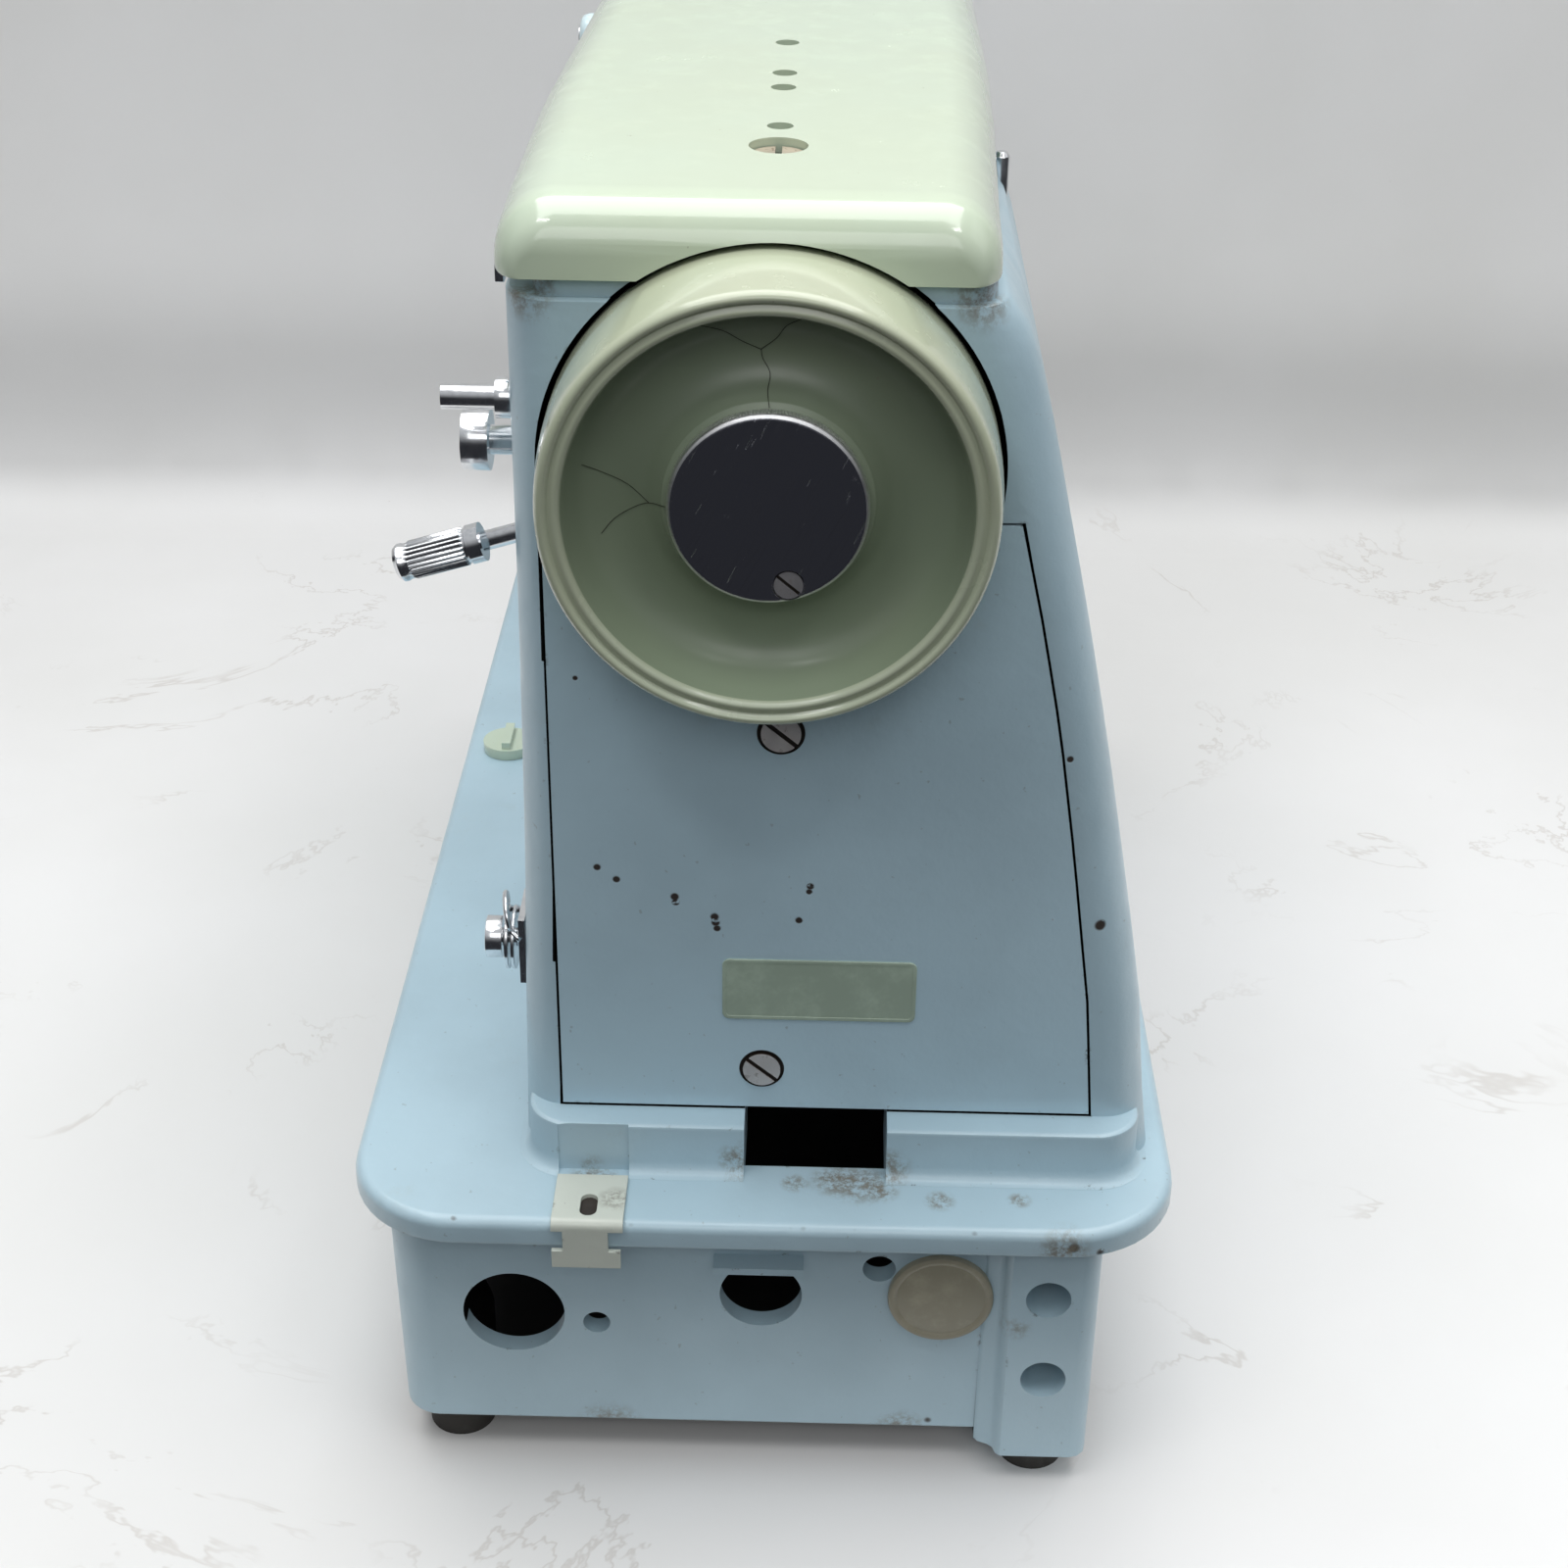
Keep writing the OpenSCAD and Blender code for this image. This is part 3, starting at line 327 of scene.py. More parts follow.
def metal(name, color, rough, grain=(1, 1, 1), grain_scale=300, grain_depth=0.3, rust=0.0):
    """Plated or machined metal with a directional grain, smears and pitting."""
    n = Nodes(name)
    lines = n.noise(grain_scale, 4, 0.6, 0.0, stretch=grain)
    base = n.mix(n.ramp(lines, 0.4, 0.75, 0, 0.35), color, [c * 0.62 for c in color[:3]] + [1])
    spots = n.ramp(n.noise(420, 5, 0.7), 0.66, 0.74, 0, rust)
    base = n.mix(spots, base, rgb(0.16, 0.10, 0.06))
    smear = n.ramp(n.noise(70, 5, 0.6), 0.3, 0.75, rough, rough + 0.16)
    n.set(Base_Color=base, Metallic=1.0, Roughness=smear,
          Normal=n.bump(lines, 0.00006, grain_depth))
    return n.material


def screw_metal(name, axis, face, color, rust=0.5):
    """Worn bright screw; a near-black painted shade fills whatever lies under its face, in mm along
    axis.
    """
    n = Nodes(name)
    split = n.add("ShaderNodeSeparateXYZ")
    n.link(n.place, split.inputs[0])
    # Painted shade: below the face the screw is near black and not metallic.
    low = n.ramp(split.outputs[axis], (face - 0.30) * MM, (face - 0.12) * MM, 1, 0)
    spots = n.ramp(n.noise(520, 5, 0.7, 0.4), 0.56, 0.66, 0, rust)
    base = n.mix(spots, color, rgb(0.17, 0.10, 0.06))
    base = n.mix(low, base, rgb(0.020, 0.014, 0.010))
    grain = n.noise(900, 4, 0.6)
    n.set(Base_Color=base, Metallic=n.ramp(low, 0, 1, 0.65, 0),
          Roughness=n.ramp(n.noise(260, 5, 0.6), 0.3, 0.7, 0.34, 0.52),
          Normal=n.bump(grain, 0.00005, 0.5))
    return n.material


def scratched(name, color):
    """Mirror plate with fine slanting scratches, deeper scores and dull spots."""
    n = Nodes(name)
    mapping = n.add("ShaderNodeMapping")
    mapping.inputs["Rotation"].default_value = (math.radians(28), 0, 0)
    n.link(n.place, mapping.inputs["Vector"])
    n.place = mapping.outputs["Vector"]
    fine = n.noise(330, 3, 0.6, 0.1, stretch=(1, 5, 0.3))
    score = n.ramp(n.noise(150, 2, 0.5, 0.5, stretch=(1, 6, 0.5)), 0.70, 0.72)
    dull = n.ramp(n.noise(120, 6, 0.75), 0.60, 0.72)
    base = n.mix(n.ramp(fine, 0.5, 0.8, 0, 0.4), color, rgb(0.34, 0.34, 0.38))
    n.set(Base_Color=base, Metallic=1.0,
          Roughness=n.math("ADD", n.ramp(fine, 0.35, 0.75, 0.05, 0.22),
                           n.math("MULTIPLY", dull, 0.2)),
          Normal=n.bump(n.math("SUBTRACT", fine, n.math("MULTIPLY", score, 1.4)), 0.00005, 0.7))
    return n.material


def soft(name, color, rough, grain_scale=600, depth=0.0002, dusty=0.03, shine=0.5):
    """Rubber, foil, dull plastic and other matt stuff with dust in its grain."""
    n = Nodes(name)
    dust = n.ramp(n.noise(110, 6, 0.7), 0.45, 0.75, 0, 0.45)
    base = n.mix(dust, color, [min(1, c * 1.5 + dusty) for c in color[:3]] + [1])
    grain = n.noise(grain_scale, 3, 0.6)
    n.set(Base_Color=base, Roughness=n.ramp(n.noise(50, 4), 0.3, 0.7, rough - 0.08, rough + 0.08),
          Normal=n.bump(grain, depth, 0.4), Specular_IOR_Level=shine)
    return n.material


# ---------------------------------------------------------------- mesh tools, in millimetres

def new_piece(name, verts, faces):
    mesh = bpy.data.meshes.new(name)
    mesh.from_pydata([Vector(v) * MM for v in verts], [], faces)
    mesh.validate()
    piece = bpy.data.objects.new(name, mesh)
    bpy.context.scene.collection.objects.link(piece)
    return piece


def loft(name, rings, closed=False):
    """A skin through rings of points; closed joins the last ring to the first."""
    count = len(rings[0])
    verts = [p for ring in rings for p in ring]
    faces = []
    for k in range(len(rings) if closed else len(rings) - 1):
        a, b = k * count, (k + 1) % len(rings) * count
        for i in range(count):
            j = (i + 1) % count
            faces.append((a + i, a + j, b + j, b + i))
    if not closed:
        faces.append(tuple(range(count))[::-1])
        faces.append(tuple(range((len(rings) - 1) * count, len(rings) * count)))
    piece = new_piece(name, verts, faces)
    outward(piece)
    return piece


def outward(piece):
    work = bmesh.new()
    work.from_mesh(piece.data)
    bmesh.ops.recalc_face_normals(work, faces=work.faces)
    work.to_mesh(piece.data)
    work.free()


def round_rect(x, y, r, steps=8):
    """Points round a rectangle; r is one radius, or one for each corner from (+, +) on."""
    radii = r if isinstance(r, (list, tuple)) else [r] * 4
    points = []
    corners = ((x[1], y[1], 0), (x[0], y[1], 90), (x[0], y[0], 180), (x[1], y[0], 270))
    for (cx, cy, start), radius in zip(corners, radii):
        side_x = 1 if start in (0, 270) else -1
        side_y = 1 if start in (0, 90) else -1
        for i in range(steps + 1):
            a = math.radians(start + 90 * i / steps)
            points.append((cx - side_x * radius + radius * math.cos(a),
                           cy - side_y * radius + radius * math.sin(a)))
    return points


def at_z(points, z):
    return [(x, y, z) for x, y in points]


def at_x(points, x):
    return [(x, y, z) for y, z in points]


def at_y(points, y):
    return [(x, y, z) for x, z in points]


def circle(y, z, r, steps=64):
    return [(y + r * math.cos(2 * math.pi * i / steps), z + r * math.sin(2 * math.pi * i / steps))
            for i in range(steps)]


def fluted_circle(r, depth, flutes, steps):
    """Points round a circle that dips by depth between its flutes."""
    points = []
    for i in range(steps):
        a = 2 * math.pi * i / steps
        dip = depth * (0.5 - 0.5 * math.cos(flutes * a))
        points.append(((r - dip) * math.cos(a), (r - dip) * math.sin(a)))
    return points


def rod(name, axis, span, centre, r, steps=64):
    put = {"x": at_x, "y": at_y, "z": at_z}[axis]
    ring = circle(centre[0], centre[1], r, steps)
    return loft(name, [put(ring, span[0]), put(ring, span[1])])


def block(name, x, y, z):
    ring = [(x[0], y[0]), (x[1], y[0]), (x[1], y[1]), (x[0], y[1])]
    return loft(name, [at_z(ring, z[0]), at_z(ring, z[1])])


def lathe(name, axis_at, profile, steps=128, axis="x"):
    """Turns (radius, place) points round an axis through axis_at; ends at the axis close it."""
    put = {"x": at_x, "y": at_y, "z": at_z}[axis]
    return loft(name, [put(circle(axis_at[0], axis_at[1], max(r, 0.02), steps), t)
                       for r, t in profile])


def combine(piece, others, operation):
    """Joins to, or cuts from, a piece every solid in others, and uses them up."""
    for other in others:
        modifier = piece.modifiers.new("solid", "BOOLEAN")
        modifier.operation = operation
        modifier.solver = "MANIFOLD"
        modifier.object = other
    bake(piece)
    for other in others:
        bpy.data.objects.remove(other)
    return piece


def bake(piece):
    """Turns a piece's modifiers into its mesh."""
    evaluated = piece.evaluated_get(bpy.context.evaluated_depsgraph_get())
    mesh = bpy.data.meshes.new_from_object(evaluated)
    piece.modifiers.clear()
    piece.data = mesh


def soften(piece, width, angle=32, segments=3):
    """Rounds sharp edges and shades the rest smooth."""
    piece.data.shade_smooth()
    modifier = piece.modifiers.new("edges", "BEVEL")
    modifier.width = width * MM
    modifier.segments = segments
    modifier.limit_method = "ANGLE"
    modifier.angle_limit = math.radians(angle)
    modifier.harden_normals = True
    modifier.use_clamp_overlap = True
    smooth = piece.modifiers.new("normals", "WEIGHTED_NORMAL")
    smooth.keep_sharp = True


def shade(piece, angle):
    """Shades a piece smooth but for edges sharper than angle."""
    piece.data.shade_smooth()
    piece.data.set_sharp_from_angle(angle=math.radians(angle))
    return piece


def dress(piece, material, body="root", replaces=()):
    piece.data.materials.clear()
    piece.data.materials.append(material)
    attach(piece, body)
    if replaces:
        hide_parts(*replaces)
    return piece


def between(table, at):
    """Reads a value from pairs that rise in their first number."""
    for (a, va), (b, vb) in zip(table, table[1:]):
        if at <= b:
            return va + (vb - va) * (at - a) / (b - a)
    return table[-1][1]


def smooth_curve(points, steps=6):
    """Catmull-Rom curve through points."""
    pts = [Vector(p) for p in points]
    pts = [2 * pts[0] - pts[1]] + pts + [2 * pts[-1] - pts[-2]]
    out = []
    for a, b, c, d in zip(pts, pts[1:], pts[2:], pts[3:]):
        for i in range(steps):
            t = i / steps
            out.append(0.5 * (2 * b + (c - a) * t + (2 * a - 5 * b + 4 * c - d) * t * t
                              + (3 * b - a - 3 * c + d) * t ** 3))
    return out + [pts[-2]]


def tube(name, points, radius, sides=12):
    """A round wire along points."""
    pts = [Vector(p) for p in points]
    rings = []
    normal = None
    for i, p in enumerate(pts):
        along = (pts[min(i + 1, len(pts) - 1)] - pts[max(i - 1, 0)]).normalized()
        if normal is None:
            normal = along.orthogonal().normalized()
        normal = (normal - along * normal.dot(along)).normalized()
        side = along.cross(normal)
        rings.append([p + normal * radius * math.cos(2 * math.pi * k / sides)
                      + side * radius * math.sin(2 * math.pi * k / sides) for k in range(sides)])
    return loft(name, rings)


# ---------------------------------------------------------------- sizes from the frame, in mm

def span(node, axis):
    low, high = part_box(node)
    return low[axis] / MM, high[axis] / MM


BED_X = span("bed_casting", 0)
BED_Y = span("bed_casting", 1)
BED_TOP = span("bed_casting", 2)[1]
BED_BOSS_Z = span("bed_casting", 2)[0]
SKIRT_Z = span("rubber_feet", 2)[1] - 10
SEAM_Z = span("top_cover", 2)[0]
COVER_TOP = span("top_cover", 2)[1]
PANEL_X = span("end_panel", 0)[1]
ARM_X = span("arm_casting", 0)
AXIS_Z = sum(span("handwheel", 2)) / 2
WHEEL_R = (span("handwheel", 2)[1] - span("handwheel", 2)[0]) / 2
FLANGE_Z = BED_TOP - 6.3          # underside of the bed's flange
RECESS_R = WHEEL_R + 1.1          # recess that the handwheel turns in
NEEDLE_X = sum(span("needle_bar", 0)) / 2

# ---------------------------------------------------------------- bed

SKIRT_X = 174.5
CORD = (-4.1, 26.5)               # the cord opening's sides
END_HOLES = ((-54.4, 41.5, 11.2), (0, 48.3, 9), (39.3, 49.5, 10.6), (-36.2, 39.1, 3),
             (25.7, 56.5, 3.6))   # y, z and radius; the third takes the plug
PIN_HOLES = ((62.3, 53.2, 4.9), (62.5, 30.4, 5))
FEET_ON_SKIRT = ((162, -69.2), (-162, -69.2), (-162, 57))
BOSS_Y = (52, 73.55)              # the rear boss that the pin holes are in
BOSS_OUT = 5                      # how far it stands out
HOOK_WEBS = ((-106, -98), (12, 20))
HOOK_SHAFT_Z = 46
GEAR_X = 56                       # the vertical shaft's place along the arm
SHAFT_HOLE_R = 8
SKIRT_Y = (-81.7, 73.5)
SKIRT_T = 5
FLANGE_R = 24
NEEDLE_PLATE_X = span("needle_plate", 0)
PLATE_Y = span("needle_plate", 1)


def bed():
    """Bed casting: flange with a soft edge, drafted skirt with its fillet, boss and holes."""
    def flange_ring(inset, z):
        return at_z(round_rect((BED_X[0] + inset, -BED_X[0] - inset),
                               (BED_Y[0] + inset, BED_Y[1] - inset), FLANGE_R - inset, 12), z)

    edge = 2.4
    rings = [flange_ring(0.7, FLANGE_Z), flange_ring(0.2, FLANGE_Z + 0.2),
             flange_ring(0, FLANGE_Z + 0.8)]
    for a in range(0, 91, 18):
        t = math.radians(a)
        rings.append(flange_ring(edge * (1 - math.cos(t)), BED_TOP - edge + edge * math.sin(t)))
    casting = loft("bed", rings)

    def skirt_ring(grow, z):
        return at_z(round_rect((-SKIRT_X - grow, SKIRT_X + grow),
                               (SKIRT_Y[0] - grow, SKIRT_Y[1] + grow), 9 + max(grow, -5), 8), z)

    skirt = loft("skirt", [skirt_ring(3.2, FLANGE_Z + 1), skirt_ring(3.2, FLANGE_Z - 0.05),
                           skirt_ring(1.5, FLANGE_Z - 0.5), skirt_ring(0.6, FLANGE_Z - 1.4),
                           skirt_ring(0.1, FLANGE_Z - 3.2), skirt_ring(0, FLANGE_Z - 8),
                           skirt_ring(-0.9, SKIRT_Z + 0.8), skirt_ring(-1.5, SKIRT_Z)])
    inner = at_z(round_rect((-SKIRT_X + SKIRT_T, SKIRT_X - SKIRT_T),
                            (SKIRT_Y[0] + SKIRT_T, SKIRT_Y[1] - SKIRT_T), 5), 0)
    hollow = loft("hollow", [[(x, y, z) for x, y, _ in inner] for z in (0, FLANGE_Z)])
    combine(skirt, [hollow], "DIFFERENCE")
    low_y, high_y = BOSS_Y
    boss = [(160, high_y), (160, low_y - 3.5), (SKIRT_X - 0.5, low_y - 3.5),
            (SKIRT_X + 0.6, low_y - 2.6), (SKIRT_X + 1.4, low_y - 0.6),
            (SKIRT_X + 2.4, low_y + 0.6), (SKIRT_X + 4.2, low_y + 1.2),
            (SKIRT_X + BOSS_OUT, low_y + 2.2)]
    boss += [(SKIRT_X + BOSS_OUT - 4 * (1 - math.cos(math.radians(a))),
              high_y - 4 * (1 - math.sin(math.radians(a)))) for a in (0, 30, 60, 90)]
    strip = loft("boss", [at_z(boss, FLANGE_Z + 1), at_z(boss, BED_BOSS_Z)])
    parts = [skirt, strip]
    for at in FEET_ON_SKIRT:
        parts.append(rod("post", "z", (SKIRT_Z, FLANGE_Z + 1), at, 8.5))
    for x in HOOK_WEBS:
        parts.append(block("web", x, (-14, 14), (HOOK_SHAFT_Z - 12, FLANGE_Z + 1)))
    parts.append(rod("shaft_boss", "z", (66, FLANGE_Z + 1), (GEAR_X, 0), 12))
    parts.append(block("tab", (SKIRT_X - 2, SKIRT_X + 4.9), (-10.2, 9.2), (58.2, 59.9)))
    combine(casting, parts, "UNION")

    end = (150, 190)
    cuts = [rod("hole", "x", end, (y, z), r) for y, z, r in END_HOLES]
    cuts += [rod("pin_hole", "x", (163.5, 190), (y, z), r) for y, z, r in PIN_HOLES]
    cuts += [rod("bush_hole", "x", (x[0] - 1, x[1] + 1), (0, HOOK_SHAFT_Z), SHAFT_HOLE_R)
             for x in HOOK_WEBS]
    cuts.append(rod("shaft_hole", "z", (60, 80), (GEAR_X, 0), SHAFT_HOLE_R))
    cuts.append(block("plate_seat", (BED_X[0] - 1, NEEDLE_PLATE_X[1] + 0.2),
                      (PLATE_Y[0] - 0.2, PLATE_Y[1] + 0.2), (BED_TOP - 1.6, BED_TOP + 1)))
    cuts.append(block("hook_opening", (-169, NEEDLE_PLATE_X[1] - 9),
                      (PLATE_Y[0] + 3, PLATE_Y[1] - 3), (FLANGE_Z - 1, BED_TOP)))
    cuts.append(block("wiring", (122, 143), (-25, 45), (FLANGE_Z - 1, BED_TOP + 1)))
    cuts.append(block("cord_way", (142, 164.3), CORD, (FLANGE_Z - 1, BED_TOP + 1)))
    cuts.append(rod("knob_hole", "z", (FLANGE_Z - 12, BED_TOP + 1), (-20, -77), 2.55))
    combine(casting, cuts, "DIFFERENCE")
    soften(casting, 0.7, 34)
    return casting


# ---------------------------------------------------------------- arm and column

COLUMN_X = (30, PANEL_X)
NECK_Z = 268.7                    # the neck under the cover starts here
COLUMN_FRONT = [(76, -52.4), (88, -52.1), (115, -51.4), (150, -50.3), (200, -49.5),
                (NECK_Z, -49.2)]  # z and y up the column's front, and then up its rear
COLUMN_REAR = [(76, 84.2), (88, 82.5), (115, 79.6), (132, 76.6), (150, 73.2), (171, 69.2),
               (190, 65.3), (207, 61.6), (225, 57.4), (240, 54), (255, 50.2), (263, 47.2),
               (NECK_Z, 43.2)]
HEAD_X = (ARM_X[0], -110)
HEAD_Y = (-45.5, 43.2)
ARM_Z = 209
HEAD_Z = 150
COLLAR_OUT = 7.2
COLLAR_Y = (-51, 81)
PANEL_LEFT = -43.4
PANEL_RIGHT = [(88.9, 69.9), (117.2, 67.4), (154, 62), (182, 57.4), (205, 52.6), (226, 47.6)]
PANEL_Z = (88.9, 226)


def column_ring(z, grow=0):
    x = (COLUMN_X[0] - grow, COLUMN_X[1] + grow)
    y = (between(COLUMN_FRONT, z) - grow, between(COLUMN_REAR, z) + grow)
    return at_z(round_rect(x, y, 9.5 + grow, 10), z)


def arm_ring(x, y, z):
    low, top = 12, 1.2
    return at_x(round_rect(y, (z, NECK_Z), (top, top, low, low), 8), x)


def panel_outline(grow, z_low, z_top, steps=14):
    left = [(PANEL_LEFT - grow, z_top), (PANEL_LEFT - grow, z_low)]
    right = []
    for i in range(steps + 1):
        z = z_low + (z_top - z_low) * i / steps
        right.append((between(PANEL_RIGHT, z) + grow, z))
    return left + right


def arm():
    """Arm casting: column on its collar, arm, head and the neck under the cover."""
    levels = [75.9, 89, 95, 105, 115, 125, 135, 145, 155, 165, 175, 185, 195, 205, 215, 225, 235,
              245, 252, 258, 263, 266.5, 268.2]
    rings = [column_ring(z) for z in levels]
    rings.append(column_ring(NECK_Z, -0.7))
    casting = loft("arm", rings)

    collar = []
    profile = [(2.6, 76.0), (2.6, 76.05), (1.5, 76.3), (0.7, 76.9), (0.2, 77.9), (0, 79), (0, 87.2),
               (-0.25, 87.9), (-0.8, 88.25), (-1.4, 88.3)]
    for grow, z in profile:
        x = (COLUMN_X[0] - COLLAR_OUT - grow, COLUMN_X[1] + COLLAR_OUT + grow)
        y = (COLLAR_Y[0] - grow, COLLAR_Y[1] + grow)
        collar.append(at_z(round_rect(x, y, 10 + grow, 10), z))
    collar = loft("collar", collar)
    beam = loft("beam", [arm_ring(50, (-49, 43.2), ARM_Z), arm_ring(30, (-49, 43.2), ARM_Z),
                         arm_ring(-58, HEAD_Y, ARM_Z), arm_ring(HEAD_X[1] - 6, HEAD_Y, ARM_Z)])
    head = loft("head", [arm_ring(HEAD_X[1], HEAD_Y, HEAD_Z), arm_ring(HEAD_X[0], HEAD_Y, HEAD_Z)])
    neck = round_rect((HEAD_X[0], COLUMN_X[1] - 1.5), (HEAD_Y[0] + 1.5, 41), 6)
    neck = loft("neck", [at_z(neck, z) for z in (NECK_Z - 1, SEAM_Z)])
    combine(casting, [collar, beam, head, neck], "UNION")

    hollow = [(-44.5, 75), (74, 75), (70, 120), (60, 160), (38, 200), (38, 280), (-41, 280),
              (-41, 267), (-44.5, 267)]
    cuts = [loft("column_hollow", [at_x(hollow, 144), at_x(hollow, 38)]),
            block("arm_hollow", (-106, 26), (-41, 38), (ARM_Z + 5, 280)),
            block("head_hollow", (HEAD_X[0] - 1, -114), (-40.5, 38), (HEAD_Z + 10, NECK_Z - 0.7)),
            block("head_top", (HEAD_X[0] + 3, -114), (-40.5, 38), (NECK_Z - 1, 280)),
            loft("panel_seat", [at_x(panel_outline(0.55, PANEL_Z[0] - 0.6, PANEL_Z[1] + 0.6), x)
                                for x in (PANEL_X - 2.6, PANEL_X + 1)]),
            block("panel_opening", (143, PANEL_X), (-37, 50), (107, 170)),
            rod("wheel_recess", "x", (150, PANEL_X + 3), (0, AXIS_Z), RECESS_R, 128),
            block("clip_slot", (COLUMN_X[1] + COLLAR_OUT - 0.7, 176), (-44, -28.8), (75, 90)),
            block("length_slot", (131.6, 138.4), (-56, -43), (194, 229)),
            block("width_slot", (119, 145), (-52, -43), (263.8, 266.6)),
            block("take_up_slot", (-152, -146), (-48, -39), (196, 240)),
            rod("lifter_hole", "y", (36, 46), (NEEDLE_X, 166), 4.05)]
    cuts.append(block("cord_opening", (143, 180), CORD, (70, PANEL_Z[0])))
    cuts.append(rod("spool_hole", "z", (212, 275), (62, 46.6), 1.75, 32))
    combine(casting, cuts, "DIFFERENCE")
    webs = [block("upper_web", (-152, -113), (-9, 23), (259, 267)),
            block("steady", (37, 68), (-14, 14), (188, 198)),
            block("bridge", (115, 127), (-48, 41), (267.3, 271))]
    combine(casting, webs, "UNION")
    holes = [rod("bar", "z", z, (NEEDLE_X, y), r) for z in ((149, 161), (258, 268))
             for y, r in ((0, 5.4), (14, 6))]
    holes += [rod("bush", "x", x, (0, AXIS_Z), 9) for x in ((-115, -105), (25, 39), (143, 151))]
    holes += [rod("steady_hole", "z", (187, 199), (GEAR_X, 0), SHAFT_HOLE_R)]
    combine(casting, holes, "DIFFERENCE")
    soften(casting, 0.6, 34)
    return casting


PANEL_SCREWS = ((2.6, 180.6), (-0.6, 99))     # y and z of their centres


def panel():
    """End panel, flush in its seat, with its two screw holes."""
    face = loft("panel", [at_x(panel_outline(0, *PANEL_Z), x) for x in (PANEL_X - 2.6, PANEL_X)])
    cuts = [rod("recess", "x", (PANEL_X - 5, PANEL_X + 1), (0, AXIS_Z), RECESS_R, 128)]
    for at in PANEL_SCREWS:
        cuts += [rod("hole", "x", (PANEL_X - 5, PANEL_X + 1), at, 2.2),
                 rod("seat", "x", (PANEL_X - 0.8, PANEL_X + 1), at, 4.8)]
    combine(face, cuts, "DIFFERENCE")
    soften(face, 0.45, 34)
    return face


COVER_EDGES = [(-174.5, -46.4, 44.6), (-110, -46.4, 44.7), (-58, -46.9, 44.9), (-14, -48.6, 45.1),
               (31, -50.3, 45.2), (74, -51.6, 44.2), (108, -51.5, 43), (130, -51.4, 42.2),
               (149, -51, 41.8), (161.2, -50.8, 41.6)]


def cover():
    """Top cover: rolled long edges, a rounded end over the handwheel, thin walls."""
    def ring(x, turn, shrink=0.0):
        at = min(x, COVER_EDGES[-1][0])
        y0 = between([(e[0], e[1]) for e in COVER_EDGES], at)
        y1 = between([(e[0], e[2]) for e in COVER_EDGES], at)
        draw = 1 - math.cos(turn)
        y = (y0 + 5 * draw + shrink, y1 - 5 * draw - shrink)
        top = COVER_TOP - 9.5 * draw - shrink
        r = max(1.0, min(11.5 - shrink, top - SEAM_Z - 1))
        points = round_rect(y, (SEAM_Z + 0.2, top), (r, r, 0.5, 0.5), 10)
        return at_x(points, x - 9 * (1 - math.sin(turn)) if turn > 0 else x)

    xs = [-174.5, -173.8, -150, -130, -110, -84, -58, -36, -14, 8, 31, 52, 74, 92, 108, 130, 149]
    rings = [ring(x, 0) for x in xs]
    rings[0] = ring(-174.5, 0, 0.7)
    rings += [ring(161.2, math.radians(a)) for a in range(12, 91, 13)]
    shell = loft("cover", rings)
    cuts = [block("inside", (-171, 157), (-43, 37), (SEAM_Z - 1, COVER_TOP - 7)),
            block("inside_top", (-171, 154), (-37, 31), (COVER_TOP - 8, COVER_TOP - 3)),
            rod("notch", "x", (150, 170), (0, AXIS_Z), RECESS_R, 128),
            rod("screw_hole", "z", (SEAM_Z, 290), (121, 0), 5.7)]
    cuts += [rod("oil_hole", "z", (SEAM_Z, 290), (x, 0), 2.6, 32) for x in (107, 77, 65, 38)]
    combine(shell, cuts, "DIFFERENCE")
    soften(shell, 0.5, 62)
    return shell


# ---------------------------------------------------------------- handwheel and knob

BELL = [(37.4, 180.2), (37.1, 178.6), (36.3, 175.5), (34.4, 172), (31.2, 169.9), (27, 169.3),
        (23, 170.6), (20.4, 173), (19.4, 174.4)]      # inside of the bell: radius and x


def handwheel():
    """Handwheel: drum that swells towards the column, beaded double lip and hollow bell."""
    widest = 43.15
    outside = [(8, 152), (38, 152), (40.4, 152.4), (42, 153.6), (42.8, 155.6), (43.1, 158.5),
               (widest, 163), (43.1, 168), (42.9, 173), (42.6, 177), (42.3, 179.8), (42.1, 180.9),
               (41.7, 181.6), (41.1, 182), (40.5, 181.9), (40.15, 181.3), (39.8, 180.95),
               (39.3, 181.1), (38.8, 181.5), (38.2, 181.5), (37.7, 181)]
    curve = [(p[0] * WHEEL_R / widest, p[1]) for p in outside]
    curve += [(p.x, p.y) for p in smooth_curve([(r, x, 0) for r, x in BELL], 4)]
    curve += [(12.5, 174.4), (12.5, 168.4), (8, 168.4)]
    wheel = lathe("wheel", (0, AXIS_Z), curve, 160)
    return shade(wheel, 60)


def bell_point(turn, r, lift=0.05):
    """A point on the bell's inside, turn degrees from the top towards the operator."""
    x = between(sorted(BELL), r)
    a = math.radians(turn)
    return (x + lift, -r * math.sin(a), AXIS_Z + r * math.cos(a))


def cracks():
    """Hairline cracks that run out from the hub across the bell."""
    paths = [[(0, 18.8), (1, 21), (0, 23.5), (3, 26), (3.5, 27.6)],
             [(3.5, 27.6), (10, 29.6), (15, 32.4), (20, 35.5)],
             [(3.5, 27.6), (-2, 29.8), (-5, 32.6), (-9, 35)],
             [(92, 18.8), (94, 22), (97, 25), (101, 29), (105, 32)],
             [(94, 22), (87, 26), (83, 31), (80, 34.5)]]
    verts, faces = [], []
    for path in paths:
        points = [bell_point(*p) for p in path]
        wire = tube("hair", smooth_curve(points, 4), 0.07, 5)
        base = len(verts)
        verts += [v.co / MM for v in wire.data.vertices]
        faces += [tuple(base + i for i in f.vertices) for f in wire.data.polygons]
        bpy.data.objects.remove(wire)
    return new_piece("handwheel_cracks", verts, faces)


KNOB_SCREW = (sum(span("stop_motion_screw", 1)) / 2, sum(span("stop_motion_screw", 2)) / 2)


